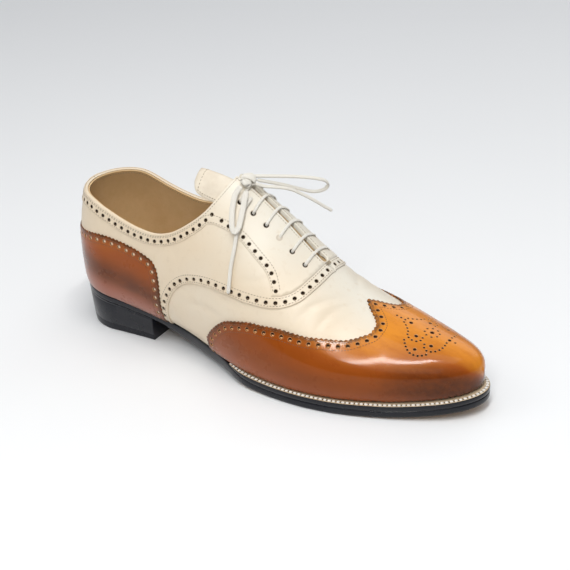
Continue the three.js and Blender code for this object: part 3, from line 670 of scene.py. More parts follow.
def node(tree, kind, inputs=None, **settings):
    made = tree.nodes.new(kind)
    for key, value in settings.items():
        setattr(made, key, value)
    feed(tree, made, inputs or {})
    return made


def noise(tree, coordinates, scale, detail=3.0, rough=0.55):
    return node(tree, "ShaderNodeTexNoise", {"Vector": coordinates, "Scale": scale,
                                             "Detail": detail, "Roughness": rough}).outputs["Fac"]


def spanOf(tree, value, low, high, toLow=0.0, toHigh=1.0):
    return node(tree, "ShaderNodeMapRange", {"Value": value, "From Min": low, "From Max": high,
                                             "To Min": toLow, "To Max": toHigh}).outputs["Result"]


def blendOf(tree, share, first, second, kind="MIX"):
    mix = node(tree, "ShaderNodeMix", {"Factor": share}, data_type="RGBA", blend_type=kind)
    for socket, value in ((mix.inputs[6], first), (mix.inputs[7], second)):
        if isinstance(value, bpy.types.NodeSocket):
            tree.links.new(value, socket)
        else:
            socket.default_value = (*value, 1)
    return mix.outputs[2]


def maths(tree, kind, a, b=0.0, clamp=False):
    return node(tree, "ShaderNodeMath", {0: a, 1: b}, operation=kind, use_clamp=clamp).outputs[0]


def objectPlace(tree):
    return node(tree, "ShaderNodeTexCoord").outputs["Object"]


def valueAt(tree, name):
    return node(tree, "ShaderNodeAttribute", attribute_name=name).outputs["Fac"]


def bumps(tree, shader, layers):
    previous = None
    for height, strength, distance in layers:
        made = node(tree, "ShaderNodeBump", {"Height": height, "Strength": strength,
                                             "Distance": distance})
        if previous is not None:
            tree.links.new(previous, made.inputs["Normal"])
        previous = made.outputs["Normal"]
    tree.links.new(previous, shader.inputs["Normal"])


# Cream colours. The warmer tone laid on low and to the rear is patina together with painted shade.
creamLook = {"light": (0.79, 0.755, 0.66), "warm": (0.78, 0.65, 0.48), "deep": (0.66, 0.53, 0.37),
             "soil": (0.34, 0.235, 0.14), "shadow": (0.030, 0.018, 0.011), "grain": 1150.0}


def makeCream(name, look=creamLook, rough=0.4):
    material, tree, shader = newMaterial(name)
    place = objectPlace(tree)
    cloud = noise(tree, place, 16.0, 4.0)
    # Patina with painted shade: the cream turns warmer and darker low on the sides and to the rear.
    warm = maths(tree, "ADD", valueAt(tree, "warm"), spanOf(tree, cloud, 0.3, 0.7, -0.22, 0.22), True)
    base = blendOf(tree, warm, look["light"], look["warm"])
    fleck = spanOf(tree, noise(tree, place, 260.0, 3.0), 0.58, 0.75, 0.0, 0.3)
    base = blendOf(tree, fleck, base, look["deep"])
    # Mottled darkening, set per panel: near panel edges, at the foot of the upper, and evenly on the tongue.
    soil = maths(tree, "MULTIPLY", valueAt(tree, "soil"), spanOf(tree, noise(tree, place, 120.0), 0.3, 0.65))
    base = blendOf(tree, soil, base, look["soil"])
    # Painted shade: the cream turns darker around the rims of the punched holes.
    base = blendOf(tree, maths(tree, "MULTIPLY", valueAt(tree, "rim"), 0.5), base, look["soil"])
    base = blendOf(tree, valueAt(tree, "shadow"), base, look["shadow"])
    gloss = spanOf(tree, noise(tree, place, 60.0, 3.0), 0.3, 0.7, rough - 0.06, rough + 0.1)
    feed(tree, shader, {"Base Color": base, "Roughness": gloss, "Coat Weight": 0.18,
                        "Coat Roughness": 0.28, "Specular IOR Level": 0.45})
    cells = node(tree, "ShaderNodeTexVoronoi", {"Vector": place, "Scale": look["grain"]},
                 feature="DISTANCE_TO_EDGE").outputs["Distance"]
    pores = noise(tree, place, 2600.0, 2.0)
    folds = noise(tree, place, 75.0, 4.0, 0.6)
    bumps(tree, shader, [(folds, 0.16, 0.0011), (spanOf(tree, cells, 0.0, 0.12), 0.22, 0.00006),
                         (pores, 0.14, 0.00005)])
    return material


# Tan colours. Bright, middle and dark follow burnishing together with painted shade and painted dark
# reflection.
tanLook = {"bright": (0.72, 0.255, 0.020), "middle": (0.31, 0.064, 0.005), "dark": (0.070, 0.014, 0.004),
           # The foot colour is a painted reflection of the pale floor, laid on low on the tan panels.
           "rim": (0.66, 0.36, 0.17), "foot": (0.36, 0.150, 0.115)}


def makeTan(name, look=tanLook):
    material, tree, shader = newMaterial(name)
    place = objectPlace(tree)
    stretched = node(tree, "ShaderNodeMapping", {"Vector": place, "Scale": (0.35, 1.0, 1.0)}).outputs[0]
    rub = noise(tree, stretched, 45.0, 5.0, 0.6)
    fine = noise(tree, stretched, 210.0, 4.0, 0.6)
    # Burnishing together with painted shade and painted dark reflection: darker low on the sides and at the
    # toe.
    burnishShadeLevel = maths(tree, "ADD", valueAt(tree, "burnish"), spanOf(tree, rub, 0.3, 0.7, -0.08, 0.08), True)
    base = blendOf(tree, spanOf(tree, burnishShadeLevel, 0.0, 0.5), look["bright"], look["middle"])
    base = blendOf(tree, spanOf(tree, burnishShadeLevel, 0.5, 1.0), base, look["dark"])
    base = blendOf(tree, spanOf(tree, fine, 0.45, 0.8, 0.0, 0.35), base, look["middle"])
    # Painted reflection of the pale floor: pinkish tone low on the tan panels.
    base = blendOf(tree, valueAt(tree, "foot"), base, look["foot"])
    speck = spanOf(tree, noise(tree, place, 420.0, 3.0), 0.35, 0.6, 0.35, 1.0)
    # Speckled darkening beside the pinked edges and at the foot of the tan panels.
    base = blendOf(tree, maths(tree, "MULTIPLY", valueAt(tree, "soil"), speck), base, (0.06, 0.024, 0.010))
    base = blendOf(tree, spanOf(tree, valueAt(tree, "rim"), 0.5, 0.95, 0.0, 0.9), base, look["rim"])
    gloss = spanOf(tree, noise(tree, place, 90.0, 4.0), 0.3, 0.7, 0.24, 0.36)
    feed(tree, shader, {"Base Color": base, "Roughness": gloss, "Specular IOR Level": 0.28,
                        "Specular Tint": (1.0, 0.5, 0.15, 1), "Coat Weight": 0.6,
                        "Coat Roughness": 0.09, "Coat IOR": 1.36})
    cells = node(tree, "ShaderNodeTexVoronoi", {"Vector": place, "Scale": 1500.0},
                 feature="DISTANCE_TO_EDGE").outputs["Distance"]
    waves = noise(tree, place, 55.0, 3.0)
    bumps(tree, shader, [(waves, 0.1, 0.0010), (spanOf(tree, cells, 0.0, 0.1), 0.1, 0.00004)])
    return material


def makeBlack(name):
    material, tree, shader = newMaterial(name)
    place = objectPlace(tree)
    cloud = noise(tree, place, 40.0, 4.0)
    base = blendOf(tree, spanOf(tree, cloud, 0.3, 0.7), (0.004, 0.005, 0.009), (0.008, 0.009, 0.014))
    base = blendOf(tree, maths(tree, "MULTIPLY", valueAt(tree, "soil"), cloud), base, (0.045, 0.042, 0.040))
    feed(tree, shader, {"Base Color": base, "Roughness": spanOf(tree, cloud, 0.3, 0.7, 0.2, 0.3),
                        "Specular IOR Level": 0.28, "Coat Weight": 0.22, "Coat Roughness": 0.1})
    pores = noise(tree, place, 1400.0, 2.0)
    bumps(tree, shader, [(cloud, 0.05, 0.0006), (pores, 0.05, 0.00003)])
    return material


# The inside of a punched hole: parts tilted upwards take the pale cut colour of the leather as painted
# light, the rest a dark colour as painted shade, chosen by the world normal.
def makeHoleShade(name, litLip=(0.05, 0.03, 0.018), deep=(0.016, 0.010, 0.007)):
    material, tree, shader = newMaterial(name)
    place = objectPlace(tree)
    normal = node(tree, "ShaderNodeNewGeometry").outputs["Normal"]
    face = node(tree, "ShaderNodeAttribute", attribute_name="face").outputs["Vector"]
    level = node(tree, "ShaderNodeVectorMath", {0: normal, 1: face},
                 operation="DOT_PRODUCT").outputs["Value"]
    normalUp = node(tree, "ShaderNodeSeparateXYZ", {0: normal}).outputs[2]
    faceUp = node(tree, "ShaderNodeSeparateXYZ", {0: face}).outputs[2]
    lean = maths(tree, "SUBTRACT", normalUp, maths(tree, "MULTIPLY", faceUp, level))
    # Painted light and shade: upward-tilted parts take the lit lip colour, the rest the dark deep colour.
    base = blendOf(tree, spanOf(tree, lean, 0.04, 0.26), deep, litLip)
    feed(tree, shader, {"Base Color": base, "Roughness": 0.8, "Specular IOR Level": 0.1})
    bumps(tree, shader, [(noise(tree, place, 1500.0), 0.3, 0.0001)])
    return material


def makeNatural(name, light=(0.56, 0.37, 0.20), dark=(0.33, 0.19, 0.09), rough=0.5):
    material, tree, shader = newMaterial(name)
    place = objectPlace(tree)
    cloud = spanOf(tree, noise(tree, place, 30.0, 5.0, 0.65), 0.3, 0.7)
    base = blendOf(tree, cloud, light, dark)
    fleck = spanOf(tree, noise(tree, place, 500.0, 2.0), 0.55, 0.8, 0.0, 0.5)
    base = blendOf(tree, fleck, base, dark)
    # Darkening set per piece; only the lining carries it, towards its bottom.
    base = blendOf(tree, valueAt(tree, "soil"), base, (0.03, 0.02, 0.015))
    feed(tree, shader, {"Base Color": base,
                        "Roughness": spanOf(tree, cloud, 0.0, 1.0, rough - 0.08, rough + 0.1)})
    bumps(tree, shader, [(noise(tree, place, 900.0, 3.0), 0.25, 0.00012), (cloud, 0.1, 0.0006)])
    return material


def makeThread(name, colour, dark):
    material, tree, shader = newMaterial(name)
    place = objectPlace(tree)
    twist = node(tree, "ShaderNodeTexWave", {"Vector": place, "Scale": 700.0, "Distortion": 2.0},
                 wave_type="BANDS", bands_direction="DIAGONAL").outputs["Fac"]
    base = blendOf(tree, spanOf(tree, twist, 0.2, 0.8, 0.0, 0.5), colour, dark)
    base = blendOf(tree, spanOf(tree, noise(tree, place, 80.0), 0.4, 0.7, 0.0, 0.4), base, dark)
    feed(tree, shader, {"Base Color": base, "Roughness": spanOf(tree, twist, 0.0, 1.0, 0.5, 0.7)})
    bumps(tree, shader, [(twist, 0.4, 0.00012)])
    return material


def makeCotton(name):
    material, tree, shader = newMaterial(name)
    uv = node(tree, "ShaderNodeUVMap", uv_map="along").outputs[0]
    parts = node(tree, "ShaderNodeSeparateXYZ", {0: uv})
    along, across = parts.outputs[0], parts.outputs[1]
    right = maths(tree, "SINE", maths(tree, "MULTIPLY", maths(tree, "ADD", along, across), 6.2832))
    left = maths(tree, "SINE", maths(tree, "MULTIPLY", maths(tree, "SUBTRACT", along, across), 6.2832))
    weave = maths(tree, "MAXIMUM", right, left)
    fuzz = noise(tree, objectPlace(tree), 900.0, 3.0)
    # Painted shade: the lace is darker in the low parts of its weave.
    base = blendOf(tree, spanOf(tree, weave, -0.2, 1.0, 0.0, 1.0), (0.60, 0.55, 0.45), (0.94, 0.92, 0.86))
    base = blendOf(tree, spanOf(tree, fuzz, 0.5, 0.75, 0.0, 0.3), base, (0.78, 0.72, 0.60))
    feed(tree, shader, {"Base Color": base, "Roughness": spanOf(tree, fuzz, 0.3, 0.7, 0.72, 0.92),
                        "Sheen Weight": 0.3, "Sheen Roughness": 0.5})
    bumps(tree, shader, [(weave, 0.5, 0.00022), (fuzz, 0.2, 0.0001)])
    return material


def makeFloor(name):
    material, tree, shader = newMaterial(name)
    place = objectPlace(tree)
    base = blendOf(tree, noise(tree, place, 3.0), (0.84, 0.85, 0.86), (0.87, 0.88, 0.885))
    feed(tree, shader, {"Base Color": base, "Roughness": 0.4, "Specular IOR Level": 0.3})
    return material


creamLeather = makeCream("creamCalf")
tanLeather = makeTan("tanCalf")
edgeInk = makeBlack("polishedEdge")
weltLeather = makeNatural("weltLeather", (0.66, 0.54, 0.38), (0.40, 0.28, 0.16), 0.55)
soleLeather = makeNatural("soleLeather", (0.50, 0.33, 0.18), (0.36, 0.22, 0.11), 0.45)
liningLeather = makeNatural("liningLeather", (0.70, 0.50, 0.27), (0.58, 0.39, 0.19), 0.5)
creamThread = makeThread("creamThread", (0.44, 0.36, 0.25), (0.20, 0.15, 0.10))
tanThread = makeThread("tanThread", (0.24, 0.10, 0.035), (0.07, 0.028, 0.012))
weltThread = makeThread("weltThread", (0.95, 0.93, 0.88), (0.78, 0.72, 0.62))
laceCotton = makeCotton("laceCotton")
holeShadow = makeHoleShade("holeShadow")
creamHoleShade = makeHoleShade("creamHoleShade", (0.20, 0.14, 0.09), (0.022, 0.014, 0.009))
# Painted light and shade inside the holes of the tan leather.
tanHole = makeHoleShade("tanHole", (0.95, 0.52, 0.23), (0.030, 0.012, 0.006))

# Camera and cords come first.

cameraSizes = {"azimuth": 32.4, "elevation": 28.9, "roll": -2.16, "distance": 905.2,
               "target": (154.31, 0.0, 51.655), "lens": 88.42}


def makeCamera(sizes):
    a, e, turn = (math.radians(sizes[k]) for k in ("azimuth", "elevation", "roll"))
    back = Vector((math.sin(a) * math.cos(e), -math.cos(a) * math.cos(e), math.sin(e)))
    right = Vector((math.cos(a), math.sin(a), 0))
    up = back.cross(right)
    rolledRight = right * math.cos(turn) + up * math.sin(turn)
    rolledUp = -right * math.sin(turn) + up * math.cos(turn)
    target = Vector(toScene([sizes["target"]])[0])
    data = bpy.data.cameras.new("shoeCamera")
    data.lens = sizes["lens"]
    data.sensor_width = 36
    data.clip_start = 0.05
    camera = bpy.data.objects.new("shoeCamera", data)
    rotation = Matrix((rolledRight, rolledUp, back)).transposed()
    camera.matrix_world = Matrix.Translation(target + back * sizes["distance"] / 1000) @ rotation.to_4x4()
    scene.collection.objects.link(camera)
    scene.camera = camera
    return camera


camera = makeCamera(cameraSizes)

laceSizes = {"width": 2.5, "thickness": 1.25, "barWidth": 2.0, "barThickness": 1.0,
             "loopWidth": 3.6, "loopThickness": 1.1, "setback": 14.5, "barTop": 2.3, "under": -3.35,
             "rows": 6, "first": 0.445, "last": 0.602, "weave": 0.95}


def sweepPoints(points, gap):
    line = spread(points, 60 * len(points))
    length = runOf(line)
    count = max(4, int(round(length[-1] / gap)))
    goals = np.linspace(0, length[-1], count + 1)
    share = np.interp(goals, length, np.linspace(0, len(points) - 1, len(line)))
    return np.stack([np.interp(goals, length, line[:, k]) for k in range(3)], 1), share, length[-1]


# A woven ribbon along a line; facing holds the direction of its flat side at each point.
def ribbon(points, facing, width, thickness, gap=0.7, ends=0.5):
    line, share, total = sweepPoints(points, gap)
    facing = np.asarray(facing, float)
    k = np.clip(np.floor(share).astype(int), 0, len(facing) - 2)
    part = (share - k)[:, None]
    face = facing[k] * (1 - part) + facing[k + 1] * part
    way = np.gradient(line, axis=0)
    way /= np.linalg.norm(way, axis=1, keepdims=True)
    face -= way * np.einsum("ij,ij->i", face, way)[:, None]
    face /= np.maximum(np.linalg.norm(face, axis=1, keepdims=True), 1e-9)
    wide = np.cross(face, way)
    sides, weave = 12, laceSizes["weave"]
    turn = np.arange(sides) / sides * 2 * np.pi
    cu, cv = np.cos(turn), np.sin(turn)
    cu, cv = np.sign(cu) * np.abs(cu) ** 0.6, np.sign(cv) * np.abs(cv) ** 0.75
    size = len(line)
    run = np.linspace(0, total, size)
    closing = np.minimum(1, np.minimum(run, total - run) / max(ends, 1e-6) + 0.45)
    points = (line[:, None] + wide[:, None] * (cu * width / 2)[None, :, None] * closing[:, None, None]
              + face[:, None] * (cv * thickness / 2)[None, :, None] * closing[:, None, None])
    points = points.reshape(-1, 3)
    faces, uv = [], []
    for i in range(size - 1):
        for j in range(sides):
            n = (j + 1) % sides
            faces.append((i * sides + j, (i + 1) * sides + j, (i + 1) * sides + n, i * sides + n))
            for row, column in ((i, j), (i + 1, j), (i + 1, j + 1), (i, j + 1)):
                uv.append((run[row] / weave, column / sides * 2 * (width + thickness) / weave))
    middle = len(points)
    points = np.vstack([points, line[:1], line[-1:]])
    for j in range(sides):
        n = (j + 1) % sides
        faces.append((middle, j, n))
        faces.append((middle + 1, (size - 1) * sides + n, (size - 1) * sides + j))
        uv += [(0, 0), (0, 0.2), (0.2, 0.2), (0, 0), (0, 0.2), (0.2, 0.2)]
    return points, faces, uv, line


def joined(parts):
    points, faces, uv = [], [], []
    base = 0
    for part in parts:
        points.append(part[0])
        faces += [tuple(v + base for v in f) for f in part[1]]
        uv += part[2]
        base += len(part[0])
    return np.vstack(points), faces, uv


def lacePiece(name, parts):
    points, faces, uv = joined(parts)
    return meshPiece(name, toScene(points), faces, laceCotton, uv=uv)


def crestFrame(share, across, off):
    point, normal = overPoint(share, across, off)
    ahead, behind = overPoint(share + 0.003, across)[0], overPoint(share - 0.003, across)[0]
    along = ahead[0] - behind[0]
    along -= normal[0] * (along @ normal[0])
    along /= np.linalg.norm(along)
    return point[0], along, normal[0]


print("cords")
knotPoint, knotAlong, knotNormal = crestFrame(0.437, -1.5, 5.3)
knotOver = np.cross(knotNormal, knotAlong)

# Route rows of the bow. Lying ones: share along, millimetres from the crest, millimetres off.
loopLateral = [(0.434, 8, 6.4), (0.432, 13, 5.6), (0.437, 20, 5.4), (0.445, 27, 5.4),
               (0.452, 31, 5.4), (0.459, 32, 5.4), (0.463, 29, 5.4), (0.46, 22, 5.4),
               (0.453, 14, 5.8), (0.447, 8.4, 6.6)]
endLateral = [(0.46, 8, 3.4), (0.458, 14, 3.2), (0.459, 24, 3.1), (0.463, 33, 3.1),
              (0.467, 42, 3.1), (0.469, 51, 3.1), (0.472, 58, 3.1), (0.475, 67, 3.1)]
# Free ones: millimetres from the middle of the knot.
loopMedial = [(0.9, 5.4, 0.4), (9, 14, -1.5), (20, 25, -4), (29, 33, -6.5), (33.5, 37.5, -9),
              (34.3, 40, -12.6), (33, 39, -15.3), (30, 36, -16.5), (26, 32, -15.9),
              (20, 25, -12), (14, 18, -8), (2.7, 5.5, -2)]
endMedial = [(4.1, 1.2, -2.5), (8.5, 5.5, -5.2), (14, 10.5, -6.6), (20, 17, -9.5),
             (26, 23, -14.6), (32, 28, -20), (36, 32, -24.5), (40, 35, -28)]


def lyingRoute(rows):
    frames = [crestFrame(share, -across, off) for share, across, off in rows]
    return np.array([f[0] for f in frames]), np.array([f[2] for f in frames])


def freeRoute(rows):
    points = np.array([knotPoint + np.array(row) for row in rows])
    facing = np.tile(knotNormal, (len(rows), 1))
    return points, facing


def cordPiece(name, route, node, width, thickness):
    points, facing = route
    part = ribbon(points, facing, width, thickness)
    piece = lacePiece(name, [part])
    dress(piece, [node])
    return piece


cordPiece("bowLoopLateral", lyingRoute(loopLateral), "lace_loop_lateral",
          laceSizes["loopWidth"], laceSizes["loopThickness"])
cordPiece("bowEndLateral", lyingRoute(endLateral), "lace_end_lateral",
          laceSizes["width"], laceSizes["thickness"])
cordPiece("bowLoopMedial", freeRoute(loopMedial), "lace_loop_medial",
          laceSizes["width"], laceSizes["thickness"])
cordPiece("bowEndMedial", freeRoute(endMedial), "lace_end_medial",
          laceSizes["width"], laceSizes["thickness"])


def circleRoute(middle, first, second, firstHalf, secondHalf, lean, count=16):
    turn = np.linspace(0, 2 * np.pi, count + 1) + 0.2
    points = [middle + first * firstHalf * math.cos(a) + second * secondHalf * math.sin(a)
              + lean * math.sin(a) for a in turn]
    facing = [first * math.cos(a) / firstHalf + second * math.sin(a) / secondHalf for a in turn]
    return np.array(points), np.array(facing)


def makeKnot():
    parts = []
    turned = knotAlong * math.cos(0.35) + knotOver * math.sin(0.35)
    turnedOver = np.cross(knotNormal, turned)
    parts.append(ribbon(*circleRoute(knotPoint, turned, knotNormal, 4.4, 2.1, turnedOver * 0.4),
                        4.2, 1.2, ends=0.01))
    parts.append(ribbon(*circleRoute(knotPoint - knotOver * 3.0 - knotNormal * 0.5, knotAlong, knotNormal,
                                     3.4, 1.6, knotOver * 0.8), 2.6, 1.1, ends=0.01))
    parts.append(ribbon(*circleRoute(knotPoint + knotOver * 3.1 - knotNormal * 0.5, knotAlong, knotNormal,
                                     3.5, 1.6, -knotOver * 0.7), 2.6, 1.1, ends=0.01))
    parts.append(ribbon([knotPoint - knotOver * 6 - knotNormal * 0.2, knotPoint - knotOver * 3,
                         knotPoint + knotNormal * 0.4, knotPoint + knotOver * 3,
                         knotPoint + knotOver * 6 - knotNormal * 0.2],
                        [knotNormal] * 5, 5.0, 2.4))
    return lacePiece("bowKnot", parts)


dress(makeKnot(), ["lace_knot"])

rowShares = [laceSizes["first"] + (laceSizes["last"] - laceSizes["first"]) * k / (laceSizes["rows"] - 1)
             for k in range(laceSizes["rows"])]


def makeBars():
    sizes = laceSizes
    parts = []
    for number, share in enumerate(rowShares):
        rows = []
        reach = sizes["setback"]
        for across, off in ((-reach - 0.3, sizes["under"]), (-reach, -0.6), (-reach + 0.8, 1.5),
                            (-reach + 2.4, 2.25), (-reach / 2, sizes["barTop"]), (0, sizes["barTop"]),
                            (reach / 2, sizes["barTop"]), (reach - 2.4, 2.25), (reach - 0.8, 1.5),
                            (reach, -0.6), (reach + 0.3, sizes["under"])):
            rows.append(crestFrame(share, across, off))
        facing = [r[2] for r in rows]
        tilt = [np.cross(r[1], r[2]) for r in rows]
        facing[0], facing[1] = tilt[0], tilt[1]
        facing[-2], facing[-1] = -tilt[-2], -tilt[-1]
        facing[2] = facing[2] + tilt[2]
        facing[-3] = facing[-3] - tilt[-3]
        parts.append(ribbon([r[0] for r in rows], facing, sizes["barWidth"], sizes["barThickness"]))
        if number + 1 < len(rowShares):
            side = 1 if number % 2 == 0 else -1
            run = [crestFrame(share + (rowShares[number + 1] - share) * s, side * reach,
                              sizes["under"] + 0.1)
                   for s in np.linspace(-0.06, 1.06, 5)]
            parts.append(ribbon([r[0] for r in run], [r[2] for r in run], sizes["barWidth"],
                                sizes["barThickness"]))
    return lacePiece("laceBars", parts)


dress(makeBars(), ["lace_bars"])

# The upper's panels.

# Heights are off the last, pitches and distances run along the leather, and shares along the shoe.
panelSizes = {
    "quarterTop": 1.0, "bandTop": 1.6, "capTop": 1.5, "counterTop": 1.75, "cupSunk": 0.12,
    "pinkPitch": 3.0, "pinkDepth": 0.85, "edgeSet": 0.6, "lineStep": 1.5,
    "holePitch": 6.1, "lowHole": 1.3, "bandHole": 1.25, "tanHole": 1.35, "eyelet": 1.75,
    "collarRow": 4.9, "collarRowBack": 1.6, "collarPitch": 5.3, "collarRowFrom": 8.4,
    "collarRowEnd": 0.388, "rowsApart": 4.6, "quarterRow": 3.4, "quarterStitches": (1.4, 6.2),
    "bandWide": 3.0, "bandFrom": 5.0, "bandStitches": (1.2, 5.6), "tanStitchGap": 1.9,
    "throatGap": 3.4, "throatStart": 0.39, "throatEnd": 0.62, "facingEnd": 0.65,
    "bandCup": 0.15, "bandFoot": 7.4, "rimStitch": 1.5, "slitStitch": 1.8,
    "capRow": 4.4, "capStitches": (2.0, 6.9), "counterRow": 4.3, "counterStitches": (2.0, 6.8),
    "tanSet": 1.5, "tanSetStep": 1.3,
    "wallIn": -2.2, "liningEyelet": 1.6, "liningSet": 0.9, "liningStitch": 2.2,
}

stitchRows = {"cream": [], "tan": []}
holeRows = []


def addStitches(kind, line, place, off, gap=2.0):
    spots = even(line, place, gap, ends=False)
    points, normal = surface(*place(spots), np.full(len(spots), off))
    way = np.gradient(points, axis=0)
    stitchRows[kind].append((points, way, normal))


# A small cup stands in each punched hole, its rim at a distance off the last; its colour paints the light
# and shade inside the hole.
def addCups(kind, spots, place, off, radius):
    points, normal = surface(*place(spots), np.full(len(spots), off))
    j = slopes(spots, place)
    holeRows.append((points, j[:, :, 0], normal, kind, round(float(radius), 2)))


def slitHalf(share):
    s = (share - panelSizes["throatStart"]) / (panelSizes["throatEnd"] - panelSizes["throatStart"])
    return panelSizes["throatGap"] * (0.4 + 0.25 * s)


def firstCut(line, keep):
    index = np.argmax(~keep) if (~keep).any() else len(line)
    return line[:index]


sidePlace = {-1: lambda p: around(p, -1), 1: lambda p: around(p, 1)}


lines = {}
for side in (-1, 1):
    place = sidePlace[side]
    collar = sideLine(collarRows, last["collarHeight"], side, True)
    collar = collar[np.argsort(collar[:, 0])]
    first = np.array([[0.0, np.interp(0, collar[:, 0], collar[:, 1])]])
    collar = np.vstack([first, collar])
    across = (1 - collar[:, 1]) * girth(collar[:, 0], side)
    collar = firstCut(collar, across > slitHalf(shareOf(collar[:, 0])))
    quarter = sideLine(quarterRows, last["instepHeight"], side)
    quarter[0, 1] = 0
    counter = sideLine(counterRows, last["counterHeight"], side)
    counter[0, 1] = 0
    counter[-1, 0] = 0
    lines[side] = {label: even(toAround(found[:, 0], found[:, 1], side), place, panelSizes["lineStep"])
                   for label, found in (("collar", collar), ("quarter", quarter), ("counter", counter))}
    cut = shareOf(collar[-1, 0])
    shares = np.linspace(cut, panelSizes["throatEnd"], 40)
    t = stationOf(shares)
    slit = toAround(t, 1 - slitHalf(shares) / girth(t, side), side)
    lines[side]["slit"] = even(slit, place, panelSizes["lineStep"])


def quarterOutline(side):
    own = lines[side]
    half = slitHalf(panelSizes["throatEnd"])
    bow = []
    for k in range(1, 7):
        a = k / 6 * np.pi / 2
        t = stationOf(panelSizes["throatEnd"] + math.sin(a) * half / last["length"] * 0.85)
        g = max(0.15, half * math.cos(a))
        bow.append(toAround(np.array([t]), np.array([1 - g / girth(t, side)]), side)[0])
    bow = np.array(bow)
    bowEnd = shareOf(np.interp(bow[-1, 0], swellRun[side], stationGrid))
    t = stationOf(np.linspace(bowEnd, panelSizes["facingEnd"], 18)[1:])
    crest = toAround(t, 1 - 0.12 / girth(t, side), side)
    line = own["quarter"]
    line = line[line[:, 1] < np.interp(line[:, 0], swellRun[side], sectionLength[side]) - 0.3]
    back = np.linspace((0.0, own["collar"][0, 1]), (0.0, 0.0), 40)[1:]
    bottom = np.linspace((0.0, 0.0), (line[0, 0], 0.0), 60)[1:-1]
    ring = [own["collar"], own["slit"][1:], bow, crest, line[::-1], bottom[::-1], back[::-1][:-1]]
    return np.vstack(ring), line


def eyeletPlaces(side):
    t = stationOf(np.array(rowShares))
    return toAround(t, 1 - laceSizes["setback"] / girth(t, side), side)


def signFor(line, place, target):
    moved = aside(line, place, 1.0)
    middle = len(line) // 2
    toward = np.linalg.norm(moved[middle] - target) < np.linalg.norm(line[middle] - target)
    return 1 if toward else -1


sideName = {-1: "Lateral", 1: "Medial"}
quarterSign, collarSign, slitSign = {}, {}, {}
for side in (-1, 1):
    place = sidePlace[side]
    inside = np.array([np.interp(stationOf(0.36), stationGrid, swellRun[side]), 70.0])
    quarterSign[side] = signFor(lines[side]["quarter"], place, inside)
    for sign, label, height in ((collarSign, "collar", 20.0), (slitSign, "slit", 60.0)):
        line = lines[side][label]
        sign[side] = signFor(line, place, np.array([line[len(line) // 2, 0], height]))

print("quarters")


# Leather turns in over the last couple of millimetres above the sole.
def tucked(place, off, depth=1.1, reach=2.4):
    def outer(flat):
        r, up = place(flat)
        height = up * girth(stationAt(r), np.where(r > 3, 1, -1))
        return off - depth * (1 - np.clip(height / reach, 0, 1)) ** 2
    return outer


def distanceTo(line, place, base):
    tree = treeOf(surface(*place(even(line, place, nearStep)))[0])
    return np.array([tree.find(p)[2] for p in base])


def fade(distance, reach):
    return np.exp(-(distance / reach) ** 2)


# Patina and painted shade of the cream leather: warmer and darker low down and to the rear, palest at the
# top.
def patinaShadeAt(r, up):
    share = shareOf(stationAt(r))
    return np.clip(1.0 - 0.8 * smooth(up, 0.5, 1.0) + 0.25 * (1 - smooth(share, 0.2, 0.42)), 0, 1)


def rowOf(rows, side):
    found = sideLine(rows, last["instepHeight"], side)
    return toAround(found[:, 0], found[:, 1], side)


def quarterPanel(side):
    place = sidePlace[side]
    sizes = panelSizes
    outline, edge = quarterOutline(side)
    own = lines[side]
    rimShare = shareOf(np.interp(own["collar"][:, 0], swellRun[side], stationGrid))
    rim = own["collar"][rimShare < sizes["collarRowEnd"]]
    room = sizes["collarRow"] + sizes["collarRowBack"] * (1 - smooth(rim[:, 0], 8, 40))
    rimRow = aside(rim, place, room * collarSign[side])
    collarRow = even(rimRow[rimRow[:, 0] > sizes["collarRowFrom"]], place,
                     sizes["collarPitch"], ends=False)
    facingRow = even(rowOf(facingRows, side), place, sizes["holePitch"])
    rowEnd = surface(*place(collarRow[-1:]))[0]
    clear = np.linalg.norm(surface(*place(facingRow))[0] - rowEnd, axis=1) > sizes["rowsApart"]
    facingRow = facingRow[clear]
    own["collarHoles"], own["facingHoles"] = collarRow, facingRow
    lowLine = aside(edge, place, sizes["quarterRow"] * quarterSign[side])
    lowRow = even(lowLine, place, sizes["holePitch"], ends=False)
    eyelets = eyeletPlaces(side)
    holes = holesAt(lowRow, place, sizes["lowHole"]) + holesAt(eyelets, place, sizes["eyelet"])
    inset = np.vstack([aside(edge, place, sizes["edgeSet"] * quarterSign[side]),
                       aside(own["collar"], place, sizes["edgeSet"] * collarSign[side])])

    def inner(flat):
        near = distanceTo(edge, place, surface(*place(flat))[0])
        return -0.9 + 0.95 * (1 - smooth(near, 11.5, 14.0))

    def shade(flat, r, up, base):
        near = distanceTo(edge, place, base)
        soil = 0.35 * fade(near, 1.3) + 0.5 * fade(up, 0.05)
        return {"soil": np.clip(soil, 0, 1), "warm": patinaShadeAt(r, up)}

    addCups("cream", lowRow, place, sizes["quarterTop"] - sizes["cupSunk"], sizes["lowHole"])
    addCups("band", np.vstack([collarRow, facingRow]), place, sizes["bandTop"] - sizes["bandCup"],
            sizes["bandHole"])
    addCups("dark", eyelets, place, 1.2, sizes["eyelet"])
    piece = leatherPanel("quarter" + sideName[side], outline, holes, place,
                         tucked(place, sizes["quarterTop"]), inner, creamLeather, shade=shade, inset=inset)
    for away in sizes["quarterStitches"]:
        addStitches("cream", aside(edge, place, away * quarterSign[side]), place, sizes["quarterTop"])
    own["edge"] = edge
    return dress(piece, ["quarter_" + sideName[side].lower()])


